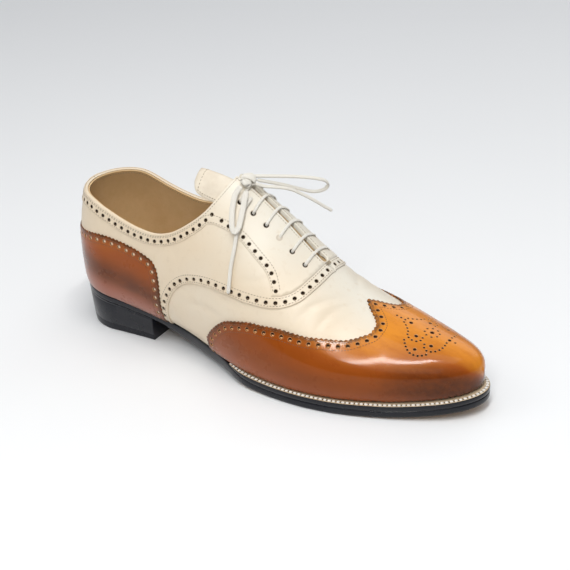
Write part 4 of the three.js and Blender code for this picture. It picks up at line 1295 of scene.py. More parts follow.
def bandPanel(side):
    place = sidePlace[side]
    sizes = panelSizes
    own = lines[side]
    outline, _ = quarterOutline(side)
    eyelets = eyeletPlaces(side)
    collarRow, facingRow = own["collarHoles"], own["facingHoles"]
    wide, fromBack = sizes["bandWide"], sizes["bandFrom"]
    low = aside(collarRow, place, -wide * rowSign(collarRow, place, side, "collar"))
    front = aside(facingRow, place, -wide * rowSign(facingRow, place, side, "facing"))
    base = aside(own["edge"], place, sizes["bandFoot"] * quarterSign[side])
    start = np.array([[fromBack, np.interp(fromBack, low[:, 0], low[:, 1])]])
    low = np.vstack([start, low[low[:, 0] > fromBack]])
    # The lower line turns down the facing at the corner, and along the quarter's edge at its foot.
    foot = base[base[:, 0] > front[-1, 0] + 0.5]
    front = front[front[:, 1] > np.interp(front[:, 0], base[:, 0], base[:, 1]) + 1.0]
    lower = spread(np.vstack([low[:-1], front[1:]]), 260)
    collar = own["collar"]
    ahead = collar[collar[:, 0] >= fromBack]
    top = np.vstack([[[fromBack, np.interp(fromBack, collar[:, 0], collar[:, 1])]], ahead])
    rest = outline[len(own["collar"]):]
    slit = own["slit"][1:]
    bow = rest[len(slit):len(slit) + 6]
    line = even(lower, place, sizes["lineStep"])
    ring = np.vstack([top, slit, bow, foot[::-1], line[::-1]])
    holes = holesAt(np.vstack([collarRow, facingRow]), place, sizes["bandHole"])
    holes += holesAt(eyelets, place, sizes["eyelet"])
    inward = bandSign(lower, place, side)
    edgeSet = sizes["edgeSet"]
    inset = np.vstack([aside(line, place, edgeSet * inward),
                       aside(collar, place, edgeSet * collarSign[side]),
                       aside(own["slit"], place, edgeSet * slitSign[side])])
    inset = inset[inset[:, 0] > fromBack + 0.5]

    def shade(flat, r, up, points):
        near = distanceTo(lower, place, points)
        return {"soil": np.clip(0.3 * fade(near, 1.0), 0, 1), "warm": patinaShadeAt(r, up)}

    piece = leatherPanel("facing" + sideName[side], ring, holes, place, sizes["bandTop"],
                         sizes["quarterTop"] + 0.02, creamLeather, shade=shade, inset=inset, gap=2.1)
    for away in sizes["bandStitches"]:
        addStitches("cream", aside(line, place, away * inward), place, sizes["bandTop"])
    for row, away in ((top[2:], sizes["rimStitch"] * collarSign[side]),
                      (own["slit"], sizes["slitStitch"] * slitSign[side])):
        addStitches("cream", aside(row, place, away), place, sizes["bandTop"])
    return dress(piece, [])


def rowSign(line, place, side, kind):
    own = lines[side]["collar"]
    if kind == "collar":
        target = own[np.argmin(np.abs(own[:, 0] - line[len(line) // 2, 0]))]
    else:
        target = eyeletPlaces(side)[3]
    return signFor(line, place, target)


def bandSign(lower, place, side):
    line = even(lower, place, panelSizes["lineStep"])
    holes = lines[side]["collarHoles"]
    return signFor(line[:len(line) // 2], place, holes[len(holes) // 3])


for side in (-1, 1):
    quarterPanel(side)
for side in (-1, 1):
    bandPanel(side)

print("vamp and cap")
tipAt = bothRun[-1]


def toOverSide(line, side):
    t = np.interp(line[:, 0], swellRun[side], stationGrid)
    up = line[:, 1] / girth(t, side)
    return toOver(t, up, side)


def featherRow(fromShare, side, count=170):
    t = np.linspace(float(stationOf(fromShare)), 3.0, count)
    return toOver(t, np.zeros(count), side)


def tipRow(count=9):
    total = sectionLength[1][-1]
    half = np.linspace(total, 0, count)
    return np.array([(tipAt, g) for g in half] + [(tipAt, -g) for g in half[::-1][1:]])


def forepartOutline(rear, lateralFrom, medialFrom):
    medial = featherRow(medialFrom, 1)
    lateral = featherRow(lateralFrom, -1)
    return np.vstack([rear, medial[1:-1], tipRow(), lateral[::-1][1:-1]])


def vampPanel():
    parts = []
    for side in (-1, 1):
        line = toOverSide(lines[side]["edge"], side)
        near = np.abs(line[:, 1])
        inward = signFor(line, over, line[len(line) // 2] * [1, 0.9] - [5, 0])
        moved = aside(line, over, inward * (4.6 + 5.4 * smooth(near, 4, 20)))
        parts.append(moved[np.abs(moved[:, 1]) > 0.6])
    rear = np.vstack([parts[0], parts[1][::-1]])
    starts = []
    for end, side in ((0, -1), (-1, 1)):
        t = np.interp(rear[end, 0], bothRun, stationGrid)
        rear[end, 1] = side * girth(t, side)
        starts.append(shareOf(t))
    outline = forepartOutline(rear, *starts)

    def shade(flat, r, up, base):
        return {"soil": np.clip(0.5 * fade(up, 0.05), 0, 1), "warm": patinaShadeAt(r, up) * 0.9}

    piece = leatherPanel("vamp", outline, [], over, tucked(over, 0.0, 0.7), -0.95, creamLeather, gap=2.2,
                         shade=shade, seamAt=tipAt, rounding=0.1)
    return dress(piece, ["upper"])


vampPanel()


def wingLine(side):
    rise = np.linspace(0, 1, 300)
    share = curveOf([row[0] for row in wingRows], [row[1] for row in wingRows], True)(rise)
    return toOver(stationOf(share), rise, side)


# Own medallion, mirrored across the crest: a rosette, two leaf scrolls on each side and a tail.
medallion = {"at": 0.882, "across": 1.0, "small": 0.8, "step": 2.75,
             "large": [(0, 0, 1.45), (-6.2, 9.4, 1.3), (5.6, 11.8, 1.3), (-15.0, 0, 1.35), (12.2, 0, 1.2),
                       (-1.4, 19.6, 1.2)],
             "rosette": 8, "rosetteRadius": 4.7,
             "scrolls": [
                 [(-18.6, 2.6), (-15.4, 5.2), (-12.4, 8.6), (-10.6, 12.4), (-6.6, 14.0), (-2.4, 12.2),
                  (-2.2, 8.4)],
                 [(12.0, 3.6), (12.4, 7.6), (11.4, 12.0), (8.2, 15.8), (3.8, 16.4), (1.4, 12.8)],
                 [(-10.6, 16.6), (-7.6, 20.2), (-3.0, 23.4), (2.4, 22.8), (6.4, 19.4)],
             ],
             "tail": [(-19.2, 0), (-22.2, 0), (-25.2, 0), (16.2, 0)]}


def medallionHoles():
    sizes = medallion
    spots = []
    for x, y, radius in sizes["large"]:
        spots += [(x, y, radius), (x, -y, radius)] if y else [(x, 0, radius)]
    for k in range(sizes["rosette"]):
        a = (k + 0.5) / sizes["rosette"] * 2 * np.pi
        spots.append((sizes["rosetteRadius"] * math.cos(a), sizes["rosetteRadius"] * math.sin(a),
                      sizes["small"]))
    for scroll in sizes["scrolls"]:
        line = spread(np.array(scroll, float), 200)
        length = runOf(line)
        count = int(round(length[-1] / sizes["step"]))
        for goal in np.linspace(0, length[-1], count + 1):
            x, y = (float(np.interp(goal, length, line[:, k])) for k in range(2))
            spots += [(x, y, sizes["small"]), (x, -y, sizes["small"])]
    spots += [(x, y, sizes["small"]) for x, y in sizes["tail"]]
    kept = []
    for spot in spots:
        if all(math.hypot(spot[0] - o[0], spot[1] - o[1]) > spot[2] + o[2] + 0.55 for o in kept):
            kept.append(spot)
    middle = np.interp(stationOf(sizes["at"]), stationGrid, bothRun)
    centres, radii = [], []
    for x, y, radius in kept:
        # Walk over the surface so that the motif keeps its real size.
        p = np.array([[middle, sizes["across"]]])
        steps = 6
        for _ in range(steps):
            j = slopes(p, over)[0]
            ahead = j[:, 0] / np.linalg.norm(j[:, 0])
            n = surface(*over(p))[1][0]
            left = np.cross(n, ahead)
            goal = (ahead * x + left * y) / steps
            p = p + np.linalg.lstsq(j, goal, rcond=None)[0]
        centres.append(p[0])
        radii.append(radius)
    return np.array(centres), np.array(radii)


def capPanel():
    sizes = panelSizes
    smoothLine = np.vstack([wingLine(-1), wingLine(1)[::-1][1:]])
    smoothLine = even(smoothLine, over, 1.0)
    inward = signFor(smoothLine, over, np.array([tipAt - 30, 0.0]))
    edge = pinkedLine(smoothLine, over, sizes["pinkPitch"], sizes["pinkDepth"], inward)
    edge[0] = smoothLine[0]
    edge[-1] = smoothLine[-1]
    outline = forepartOutline(edge, wingRows[0][1], wingRows[0][1])
    rowLine = setIn(smoothLine, over, inward * sizes["capRow"])
    row = even(rowLine, over, sizes["holePitch"], ends=False)
    holes = holesAt(row, over, sizes["tanHole"])
    spots, radii = medallionHoles()
    holes += holesAt(spots, over, radii, 10)
    inset = even(setIn(smoothLine, over, inward * sizes["tanSet"]), over, sizes["tanSetStep"])
    addCups("tan", row, over, sizes["capTop"] - sizes["cupSunk"], sizes["tanHole"])
    for radius in sorted(set(radii)):
        addCups("tan" if radius > 1 else "dark", spots[radii == radius], over,
                sizes["capTop"] - sizes["cupSunk"], radius)

    def shade(flat, r, up, base):
        share = shareOf(stationAt(r))
        near = distanceTo(smoothLine, over, base)
        # Burnishing darkens the toe; the darkening low on the sides and the narrow dark band just above the
        # foot are painted shade and painted dark reflection.
        burnish = (0.02 + 0.5 * (1 - smooth(up, 0.3, 0.74)) + 0.42 * smooth(share, 0.78, 0.97)
                   * (1 - 0.85 * smooth(up, 0.45, 0.95)) + 0.12 * fade(up - 0.16, 0.1))
        soil = 1.1 * fade(near, 3.0) + 0.4 * fade(up, 0.03)
        # The foot value paints the floor's reflection low on the cap.
        return {"burnish": np.clip(burnish, 0, 1), "soil": np.clip(soil, 0, 1),
                "foot": 0.15 * (1 - smooth(up, 0.03, 0.16))}

    piece = leatherPanel("wingCap", outline, holes, over, tucked(over, sizes["capTop"], 1.2), 0.06,
                         tanLeather, gap=2.0, shade=shade, inset=inset, seamAt=tipAt, rounding=0.25)
    for away in sizes["capStitches"]:
        addStitches("tan", setIn(smoothLine, over, inward * away), over, sizes["capTop"],
                    sizes["tanStitchGap"])
    return dress(piece, ["toe_cap"])


def pinkedLine(line, place, pitch, depth, inward, steps=6):
    points = surface(*place(line))[0]
    total = np.linalg.norm(np.diff(points, axis=0), axis=1).sum()
    teeth = max(1, int(round(total / pitch)))
    line = even(line, place, total / (teeth * steps))
    phase = np.arange(len(line)) % steps / steps
    wave = np.abs(2 * phase - 1) ** 1.25
    return aside(line, place, inward * depth * wave)


capPanel()

print("counter and back strip")


def counterPanel():
    sizes = panelSizes
    lateral = lines[-1]["counter"] * [-1, 1]
    medial = lines[1]["counter"][::-1]
    line = even(np.vstack([lateral, medial[1:]]), around, 1.0)
    inward = signFor(line, around, np.array([0.0, 15.0]))
    edge = pinkedLine(line, around, sizes["pinkPitch"], sizes["pinkDepth"], inward)
    edge[0], edge[-1] = line[0], line[-1]
    bottom = np.linspace((line[-1, 0], 0.0), (line[0, 0], 0.0), 130)[1:-1]
    outline = np.vstack([edge, bottom])
    rowLine = aside(line, around, inward * sizes["counterRow"])
    row = even(rowLine, around, sizes["holePitch"], ends=False)
    holes = holesAt(row, around, sizes["tanHole"])
    inset = even(aside(line, around, inward * sizes["tanSet"]), around, sizes["tanSetStep"])
    addCups("tan", row, around, sizes["counterTop"] - sizes["cupSunk"], sizes["tanHole"])

    def shade(flat, r, up, base):
        near = distanceTo(line, around, base)
        height = flat[:, 1]
        # Burnished tone, darker at the back seam; the dark band round mid height is painted dark reflection,
        # as on the toe.
        burnish = 0.48 + 0.42 * fade(height - 21, 10) + 0.12 * fade(flat[:, 0], 16)
        soil = 1.1 * fade(near, 3.0) + 0.4 * fade(height, 2.0)
        # The foot value paints the floor's reflection low on the counter.
        return {"burnish": np.clip(burnish, 0, 1), "soil": np.clip(soil, 0, 1),
                "foot": 0.85 * (1 - smooth(height, 4, 20))}

    piece = leatherPanel("heelCounter", outline, holes, around, tucked(around, sizes["counterTop"], 0.7),
                         0.3, tanLeather, gap=2.2, shade=shade, inset=inset, rounding=0.25)
    for away in sizes["counterStitches"]:
        addStitches("tan", aside(line, around, inward * away), around, sizes["counterTop"],
                    sizes["tanStitchGap"])
    return dress(piece, ["counter"])


counterPanel()


stripSizes = {"halfTop": 6.6, "halfLow": 8.2, "rowIn": 2.6, "pitch": 4.6, "hole": 0.9, "top": 1.9,
              "stitches": (1.1, -1.4)}


def stripPanel():
    sizes = stripSizes
    halfTop, halfLow, rowIn = sizes["halfTop"], sizes["halfLow"], sizes["rowIn"]
    top = {side: lines[side]["collar"] for side in (-1, 1)}
    counterAt = {side: lines[side]["counter"][::-1] for side in (-1, 1)}

    def rim(side, half):
        return np.interp(half, top[side][:, 0], top[side][:, 1])

    def low(side, half):
        return np.interp(half, counterAt[side][:40, 0], counterAt[side][:40, 1]) - 2.2

    across = np.linspace(-1, 1, 15)
    upper = np.array([(s * halfTop, rim(-1 if s < 0 else 1, abs(s) * halfTop)) for s in across])
    lower = np.array([(s * halfLow, low(-1 if s < 0 else 1, abs(s) * halfLow)) for s in across])
    right = np.linspace(upper[-1], lower[-1], 24)[1:-1]
    left = np.linspace(lower[0], upper[0], 24)[1:-1]
    outline = np.vstack([upper, right, lower[::-1], left])
    holes = []
    for side in (-1, 1):
        line = np.linspace((side * (halfTop - rowIn), upper[0, 1] - 4),
                           (side * (halfLow - rowIn), lower[0, 1] + 6), 30)
        spots = even(line, around, sizes["pitch"], ends=False)
        holes += holesAt(spots, around, sizes["hole"], 10)
        addCups("cream", spots, around, 1.8, sizes["hole"])
        for away in sizes["stitches"]:
            addStitches("cream", line + [side * away, 0], around, sizes["top"])

    def shade(flat, r, up, base):
        return {"soil": 0.35 * fade(halfLow - np.abs(flat[:, 0]), 1.2), "warm": patinaShadeAt(r, up)}

    piece = leatherPanel("backStrip", outline, holes, around, sizes["top"], 1.02, creamLeather, gap=1.8,
                         shade=shade)
    return dress(piece, [])


stripPanel()

print("lining and tongue")


def liningPanel(side):
    sizes = panelSizes
    place = sidePlace[side]
    own = lines[side]
    outline, _ = quarterOutline(side)
    slit = own["slit"]
    count = len(own["collar"]) + len(slit) - 1
    head = outline[:count + 6].copy()
    head[:len(own["collar"]), 1] -= 0.35
    crestShares = np.linspace(0.64, 0.76, 16)
    t = stationOf(crestShares)
    crest = toAround(t, 1 - 0.1 / girth(t, side), side)
    down = np.linspace(crest[-1], (crest[-1, 0], 0.0), 30)[1:]
    bottom = np.linspace((crest[-1, 0], 0.0), (0.0, 0.0), 130)[1:]
    back = np.linspace((0.0, 0.0), head[0], 40)[1:-1]
    ring = np.vstack([head, crest, down, bottom, back])
    holes = holesAt(eyeletPlaces(side), place, sizes["liningEyelet"])
    inset = aside(own["collar"], place, sizes["liningSet"] * collarSign[side])

    def shade(flat, r, up, base):
        return {"soil": 0.25 * fade(up, 0.1)}

    piece = leatherPanel("lining" + sideName[side], ring, holes, place, -1.0, sizes["wallIn"],
                         liningLeather, gap=2.6, shade=shade, inset=inset, rounding=0.25)
    seam = aside(own["collar"], place, sizes["liningStitch"] * collarSign[side])
    spots = even(seam, place, 2.0, ends=False)
    points, normal = surface(*place(spots), np.full(len(spots), sizes["wallIn"]))
    stitchRows["cream"].append((points, np.gradient(points, axis=0), -normal))
    return dress(piece, ["upper"])


for side in (-1, 1):
    liningPanel(side)


tongueSizes = {"width": 48.0, "top": -4.5, "swell": 0.25, "under": -6.0, "seamIn": 2.2}


def tonguePanel():
    sizes = tongueSizes
    half = curveOf([row[0] for row in tongueRows], [row[1] * sizes["width"] for row in tongueRows], True)
    shares = np.linspace(tongueRows[0][0], tongueRows[-1][0], 70)
    s = np.interp(stationOf(shares), stationGrid, bothRun)
    width = half(shares)
    top = np.array([(s[0], g) for g in np.linspace(-width[0], width[0], 18)])[1:-1]
    bottom = np.array([(s[-1], g) for g in np.linspace(width[-1], -width[-1], 14)])[1:-1]
    outline = np.vstack([top, np.stack([s, width], 1), bottom, np.stack([s, -width], 1)[::-1]])

    def outer(flat):
        edge = np.minimum(1, (np.interp(flat[:, 0], s, width) - np.abs(flat[:, 1])) / 5)
        return sizes["top"] + sizes["swell"] * np.clip(edge, 0, 1)

    def shade(flat, r, up, base):
        low = smooth(flat[:, 0], s[0] + 24, s[0] + 36)
        return {"soil": 0.2 + 0 * up, "warm": 0.4 + 0 * up,
                "shadow": low * np.exp(-(flat[:, 1] / 7.0) ** 4)}

    piece = leatherPanel("tongueLeather", outline, [], over, outer, sizes["under"], creamLeather, gap=2.2,
                         shade=shade)
    seam = width - sizes["seamIn"]
    line = np.vstack([np.stack([s, -seam], 1)[::-1][8:-3], np.stack([s, seam], 1)[3:-8]])
    points, normal = surface(*over(even(line, over, 2.0, ends=False)), sizes["top"] + sizes["swell"])
    stitchRows["cream"].append((points, np.gradient(points, axis=0), normal))
    return dress(piece, ["tongue"])


tonguePanel()

# The sole unit.

soleSizes = {"outsole": 4.6, "welt": 3.3, "width": 5.3, "waistMargin": 1.7, "bevel": 1.6,
             "waistDepth": 4.2, "clear": 0.3, "taper": 3.9, "breast": 0.226, "weltFrom": 0.47,
             "stitch": 2.9, "seamIn": 1.75, "heelIn": 0.3}
# Levels of the heel block: share of its height, millimetres that the line cuts in.
heelLevels = [(0.0, 0.0), (0.22, 0.0), (0.232, 0.1), (0.244, 0.0), (0.55, 0.0), (0.93, 0.0),
              (0.94, 0.12), (0.95, 0.0), (1.0, 0.0)]


def soleMargin(share):
    low, high = soleSizes["waistMargin"], soleSizes["width"]
    return low + (high - low) * smooth(share, 0.4, 0.53)


def weltDepth(share):
    return (soleSizes["welt"] + soleSizes["clear"]) * smooth(share, 0.44, 0.54)


def outsoleTop(share):
    return featherZ(share) - soleSizes["clear"] - weltDepth(share)


def waistShape(share):
    return smooth(share, 0.235, 0.33) * (1 - smooth(share, 0.4, 0.56))


def ringFaces(count, size, slots=None):
    faces, kinds = [], []
    for i in range(count - 1):
        for j in range(size):
            n = (j + 1) % size
            faces.append((i * size + j, i * size + n, (i + 1) * size + n, (i + 1) * size + j))
            kinds.append(slots[j] if slots else 0)
    return faces, kinds


def solidPiece(name, points, faces, finish, kinds, sharp=38.0):
    mesh = bpy.data.meshes.new(name)
    mesh.from_pydata([tuple(p) for p in toScene(points)], [], faces)
    for material in finish:
        mesh.materials.append(material)
    mesh.polygons.foreach_set("material_index", kinds)
    work = bmesh.new()
    work.from_mesh(mesh)
    bmesh.ops.remove_doubles(work, verts=work.verts, dist=2e-6)
    bmesh.ops.dissolve_degenerate(work, edges=work.edges, dist=1e-6)
    bmesh.ops.recalc_face_normals(work, faces=work.faces)
    work.to_mesh(mesh)
    work.free()
    mesh.polygons.foreach_set("use_smooth", [True] * len(mesh.polygons))
    mesh.set_sharp_from_angle(angle=math.radians(sharp))
    piece = bpy.data.objects.new(name, mesh)
    scene.collection.objects.link(piece)
    layer = mesh.attributes.new("soil", "FLOAT", "POINT")
    layer.data.foreach_set("value", np.zeros(len(mesh.vertices), np.float32))
    print(f"  {name}: {sum(len(p.vertices) - 2 for p in mesh.polygons)} triangles")
    return piece


print("sole")


def fineStations(low, high, per=70):
    return np.linspace(low, high, max(3, int((high - low) * per)))


def outsolePiece():
    rings = []
    for t in fineStations(0, 3, 80):
        share = float(shareOf(t))
        m, top = float(soleMargin(share)), float(outsoleTop(share))
        thick = soleSizes["outsole"]
        waist = float(waistShape(share))
        low = top - thick - soleSizes["waistDepth"] * waist
        bevel = soleSizes["bevel"] * waist
        profile = [(m - 7, top), (m - 0.9, top), (m - 0.42, top - 0.12), (m - 0.12, top - 0.5),
                   (m, top - 1.1), (m - 0.02, top - thick * 0.5),
                   (m - bevel * 0.2 - 0.02, low + 1.6 + 0.6 * bevel),
                   (m - bevel * 0.6 - 0.1, low + 0.75 + 0.2 * bevel), (m - bevel * 0.9 - 0.35, low + 0.25),
                   (m - bevel - 0.9, low + 0.02), (m - bevel - 2.2, low),
                   (m - bevel - 4.4, low - 0.1 * bevel)]
        sides = {}
        for side in (-1, 1):
            sides[side] = [planPoint(t, side, float(a), float(z)) for a, z in profile]
        deck = (sides[-1][0] + sides[1][0]) / 2
        keel = (sides[-1][-1] + sides[1][-1]) / 2
        keel[2] = low - soleSizes["bevel"] * 0.4 * waist
        between = []
        for side in (-1, 1):
            edge = sides[side][-1]
            between.append([edge + (keel - edge) * k for k in (0.33, 0.66)])
        rings.append([deck, *sides[-1], *between[0], keel, *between[1][::-1], *sides[1][::-1]])
    rings = np.array(rings)
    size = rings.shape[1]
    slots = [1 if min(j, size - 1 - j) >= 10 else 0 for j in range(size)]
    faces, kinds = ringFaces(len(rings), size, slots)
    shares = shareOf(fineStations(0, 3, 80))
    for n in range(len(faces)):
        if waistShape(shares[n // size]) > 0.35 and 0.2 < shares[n // size] < 0.55:
            kinds[n] = 0
    piece = solidPiece("outsoleUnit", rings.reshape(-1, 3), faces, [edgeInk, soleLeather], kinds, 50)
    return dress(piece, ["outsole"])


def heelPiece():
    rings = []
    for t in fineStations(0, float(stationOf(soleSizes["breast"])), 60):
        share = float(shareOf(t))
        m = float(soleMargin(share)) - soleSizes["heelIn"]
        top = float(outsoleTop(share)) - soleSizes["outsole"] - 0.12
        taper = 0.8 + soleSizes["taper"] * max(0.0, 1 - float(t)) ** 2
        points = {}
        for side in (-1, 1):
            row = []
            for level, groove in heelLevels:
                z = top * level
                inward = taper * (1 - level) * (1.0 - 0.25 * level)
                eased = 0.35 if level == 0 else 0.0
                row.append(planPoint(t, side, m - inward - groove - eased, z))
                if level == 0:
                    row.append(planPoint(t, side, m - taper - 0.08, 0.3))
            points[side] = row
        rings.append(points[-1] + points[1][::-1])
    rings = np.array(rings)
    size = rings.shape[1]
    faces, kinds = ringFaces(len(rings), size, [0] * size)
    far = (len(rings) - 1) * size
    for j in range(size // 2 - 1):
        a, b, c, d = j, j + 1, size - 2 - j, size - 1 - j
        faces.append((far + a, far + b, far + c, far + d))
        kinds.append(0)
    piece = solidPiece("heelStack", rings.reshape(-1, 3), faces, [edgeInk], kinds, 30)
    return dress(piece, ["heel"])


def weltPiece():
    path = fineStations(float(stationOf(soleSizes["weltFrom"])), 3.0, 90)
    rings, lay = [], []
    for side, stations in ((-1, path), (1, path[::-1][1:])):
        for t in stations:
            share = float(shareOf(t))
            m = float(soleMargin(share))
            top = float(featherZ(share)) - soleSizes["clear"]
            low = float(outsoleTop(share)) + soleSizes["clear"] * 0.35
            depth = min(1.0, (top - low) / 2)
            s = m - soleSizes["seamIn"]
            row = [(-2.2, top), (s - 1.3, top + 0.05), (s - 0.62, top), (s - 0.5, top - 0.24 * depth),
                   (s + 0.5, top - 0.24 * depth), (s + 0.62, top), (m - 0.55, top),
                   (m - 0.2, top - 0.12 * depth), (m - 0.02, top - 0.5 * depth), (m, (top + low) / 2),
                   (m - 0.03, low + 0.3 * depth), (m - 0.3, low), (-2.2, low)]
            rings.append([planPoint(t, side, a, z) for a, z in row])
            lay.append(planPoint(t, side, s, top - 0.1 * depth))
    rings = np.array(rings)
    size = rings.shape[1]
    slots = [1 if 7 <= j <= 10 else 0 for j in range(size)]
    faces, kinds = ringFaces(len(rings), size, slots)
    faces.append(tuple(range(size))[::-1])
    faces.append(tuple((len(rings) - 1) * size + j for j in range(size)))
    kinds += [0, 0]
    piece = solidPiece("weltStrip", rings.reshape(-1, 3), faces, [weltLeather, edgeInk], kinds, 50)
    dress(piece, ["welt"])
    lay = np.array(lay)
    length = runOf(lay)
    count = int(length[-1] / soleSizes["stitch"])
    goals = (np.arange(count) + 0.5) / count * length[-1]
    spots = np.stack([np.interp(goals, length, lay[:, k]) for k in range(3)], 1)
    way = np.gradient(spots, axis=0)
    up = np.tile([0.0, 0.0, 1.0], (count, 1))
    stitchRows["welt"] = [(spots, way, up)]
    between = (spots[:-1] + spots[1:]) / 2
    stitchRows["fudge"] = [(between, np.gradient(between, axis=0), up[1:])]
    return piece


outsolePiece()
heelPiece()
weltPiece()

# Stitches and other repeats.


def repeatTree(name, cup=False):
    tree = bpy.data.node_groups.new(name, "GeometryNodeTree")
    sockets = tree.interface
    sockets.new_socket("Geometry", in_out="INPUT", socket_type="NodeSocketGeometry")
    for label in ("Length", "Width", "Height"):
        sockets.new_socket(label, in_out="INPUT", socket_type="NodeSocketFloat")
    sockets.new_socket("Seed", in_out="INPUT", socket_type="NodeSocketInt")
    sockets.new_socket("Finish", in_out="INPUT", socket_type="NodeSocketMaterial")
    sockets.new_socket("Geometry", in_out="OUTPUT", socket_type="NodeSocketGeometry")
    enter = tree.nodes.new("NodeGroupInput")
    leave = tree.nodes.new("NodeGroupOutput")
    ball = node(tree, "GeometryNodeMeshUVSphere", {"Segments": 8, "Rings": 5, "Radius": 0.5})
    shapeOut = ball.outputs["Mesh"]
    if cup:
        # The upper half of the ball sinks into the lower one.
        here = node(tree, "GeometryNodeInputPosition").outputs[0]
        parts = node(tree, "ShaderNodeSeparateXYZ", {0: here})
        lowest = maths(tree, "MINIMUM", parts.outputs[2], maths(tree, "MULTIPLY", parts.outputs[2], -0.86))
        moved = node(tree, "ShaderNodeCombineXYZ", {0: parts.outputs[0], 1: parts.outputs[1], 2: lowest})
        shapeOut = node(tree, "GeometryNodeSetPosition", {"Geometry": shapeOut,
                                                          "Position": moved.outputs[0]}).outputs[0]
    way = node(tree, "GeometryNodeInputNamedAttribute", {"Name": "way"}, data_type="FLOAT_VECTOR")
    face = node(tree, "GeometryNodeInputNamedAttribute", {"Name": "face"}, data_type="FLOAT_VECTOR")
    turn = node(tree, "FunctionNodeAxesToRotation", {"Primary Axis": face.outputs[0],
                                                     "Secondary Axis": way.outputs[0]},
                primary_axis="Z", secondary_axis="X")
    vary = node(tree, "FunctionNodeRandomValue", {"Seed": enter.outputs["Seed"]}, data_type="FLOAT")
    vary.inputs[2].default_value = 1.0 if cup else 0.88
    vary.inputs[3].default_value = 1.0 if cup else 1.1
    length = maths(tree, "MULTIPLY", enter.outputs["Length"], vary.outputs[1])
    size = node(tree, "ShaderNodeCombineXYZ", {0: length, 1: enter.outputs["Width"],
                                               2: enter.outputs["Height"]})
    place = node(tree, "GeometryNodeInstanceOnPoints", {"Points": enter.outputs["Geometry"],
                                                        "Instance": shapeOut,
                                                        "Rotation": turn.outputs[0],
                                                        "Scale": size.outputs[0]})
    real = node(tree, "GeometryNodeRealizeInstances", {"Geometry": place.outputs[0]})
    soft = node(tree, "GeometryNodeSetShadeSmooth", {"Geometry": real.outputs[0]})
    paint = node(tree, "GeometryNodeSetMaterial", {"Geometry": soft.outputs[0],
                                                   "Material": enter.outputs["Finish"]})
    tree.links.new(paint.outputs[0], leave.inputs[0])
    return tree


stitchTree = repeatTree("stitchAlong")
cupTree = repeatTree("cupsInHoles", True)


def repeated(name, rows, sizes, finish, lift=0.0, seed=3, tree=stitchTree):
    points = np.vstack([row[0] for row in rows])
    way = np.vstack([row[1] for row in rows])
    face = np.vstack([row[2] for row in rows])
    points = points + face * lift
    mesh = bpy.data.meshes.new(name + "Points")
    mesh.from_pydata([tuple(p) for p in toScene(points)], [], [])
    for label, numbers in (("way", way), ("face", face)):
        layer = mesh.attributes.new(label, "FLOAT_VECTOR", "POINT")
        layer.data.foreach_set("vector", np.asarray(numbers, np.float32).ravel())
    holder = bpy.data.objects.new(name + "Points", mesh)
    scene.collection.objects.link(holder)
    modifier = holder.modifiers.new("repeat", "NODES")
    modifier.node_group = tree
    values = {"Length": sizes[0] / 1000, "Width": sizes[1] / 1000, "Height": sizes[2] / 1000,
              "Seed": seed, "Finish": finish}
    for item in tree.interface.items_tree:
        if item.item_type == "SOCKET" and item.in_out == "INPUT" and item.name in values:
            modifier[item.identifier] = values[item.name]
    bpy.context.view_layer.update()
    graph = bpy.context.evaluated_depsgraph_get()
    plain = bpy.data.meshes.new_from_object(holder.evaluated_get(graph))
    holder.modifiers.clear()
    bpy.data.objects.remove(holder)
    plain.name = name
    piece = bpy.data.objects.new(name, plain)
    scene.collection.objects.link(piece)
    print(f"  {name}: {len(points)} repeats, {sum(len(p.vertices) - 2 for p in plain.polygons)} triangles")
    return dress(piece, [])


print("stitches")


def barTack():
    rows = []
    for k in range(5):
        share = 0.6285 + 0.0011 * k
        for g in (-0.9, 0.9):
            point, along, normal = crestFrame(share, g, panelSizes["bandTop"] + 0.1)
            rows.append((point, np.cross(normal, along), normal))
    return [tuple(np.array([row[n] for row in rows]) for n in range(3))]


repeated("creamStitching", stitchRows["cream"], (1.5, 0.5, 0.34), creamThread)
repeated("tanStitching", stitchRows["tan"], (1.45, 0.48, 0.34), tanThread)
repeated("barTack", barTack(), (2.6, 0.42, 0.4), creamThread)
repeated("weltStitching", stitchRows["welt"], (2.35, 2.2, 1.1), weltThread, 0.1)
repeated("weltFudging", stitchRows["fudge"], (0.45, 2.6, 0.34), holeShadow, 0.05)
# Cup finishes paint the shade in the holes, with a lit lip on the upward side.
cupFinish = {"cream": (creamHoleShade, 1.9), "dark": (holeShadow, 1.9), "band": (creamHoleShade, 0.85),
             "tan": (tanHole, 1.9)}
for kind, radius in sorted({row[3:5] for row in holeRows}):
    rows = [row[:3] for row in holeRows if row[3:5] == (kind, radius)]
    name = f"{kind}Holes{int(round(radius * 100))}"
    width = 2.3 * radius
    repeated(name, rows, (width, width, cupFinish[kind][1]), cupFinish[kind][0],
             tree=cupTree)

# The sock keeps its solid.
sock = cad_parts["insole"]
sock.data.materials.clear()
sock.data.materials.append(liningLeather)

# Floor and light.

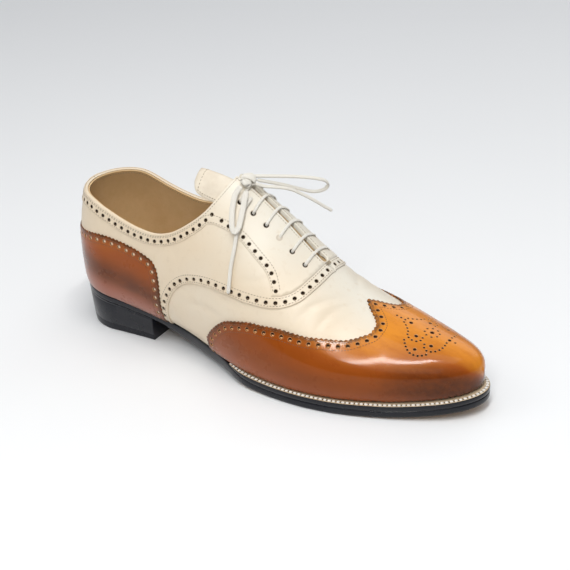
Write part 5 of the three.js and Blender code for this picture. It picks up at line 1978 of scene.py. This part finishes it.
floorMesh = bpy.data.meshes.new("floor")
floorMesh.from_pydata([(-6, -6, 0), (6, -6, 0), (6, 6, 0), (-6, 6, 0)], [], [(0, 1, 2, 3)])
floorMesh.materials.append(makeFloor("paleFloor"))
floor = bpy.data.objects.new("floor", floorMesh)
floor.location.z = -0.0002
scene.collection.objects.link(floor)

lightRows = [
    # name, place, aim, width, height, watts, colour
    ("over", (-0.02, 0.12, 1.3), (0.0, 0.02, 0.05), 1.1, 0.6, 3.0, (1.0, 0.99, 0.97)),
    ("strip", (0.235, -0.62, 1.1), (0.234, -0.6, 0.05), 0.05, 1.3, 9.5, (1.0, 0.99, 0.97)),
    ("front", (0.55, -1.15, 1.2), (0.0, 0.0, 0.05), 0.8, 0.8, 1.6, (1.0, 0.98, 0.95)),
    ("left", (-0.9, -0.7, 1.0), (0.0, 0.0, 0.05), 0.7, 0.7, 2.2, (1.0, 0.985, 0.97)),
    ("back", (0.2, 1.3, 0.8), (0.0, 0.0, 0.05), 1.0, 0.6, 2.0, (1.0, 1.0, 1.0)),
]
for name, place, aim, width, height, watts, colour in lightRows:
    lamp = bpy.data.lights.new(name, "AREA")
    lamp.shape, lamp.size, lamp.size_y = "RECTANGLE", width, height
    lamp.energy, lamp.color = watts, colour
    holder = bpy.data.objects.new(name, lamp)
    holder.location = place
    holder.rotation_euler = (Vector(aim) - Vector(place)).to_track_quat("-Z", "Y").to_euler()
    scene.collection.objects.link(holder)

scene.view_settings.view_transform = "Standard"
world = bpy.data.worlds.new("studio")
world.use_nodes = True
scene.world = world
skyTree = world.node_tree
background = skyTree.nodes["Background"]
background.inputs["Color"].default_value = (0.94, 0.96, 1.0, 1)
way = node(skyTree, "ShaderNodeTexCoord").outputs["Generated"]
height = node(skyTree, "ShaderNodeSeparateXYZ", {0: way}).outputs[2]
seen = node(skyTree, "ShaderNodeLightPath").outputs["Is Camera Ray"]
dome = spanOf(skyTree, height, 0.0, 0.8, 0.13, 0.56)
strength = node(skyTree, "ShaderNodeMix", {0: seen, 2: dome, 3: 0.95}).outputs[0]
skyTree.links.new(strength, background.inputs["Strength"])

bpy.context.view_layer.update()
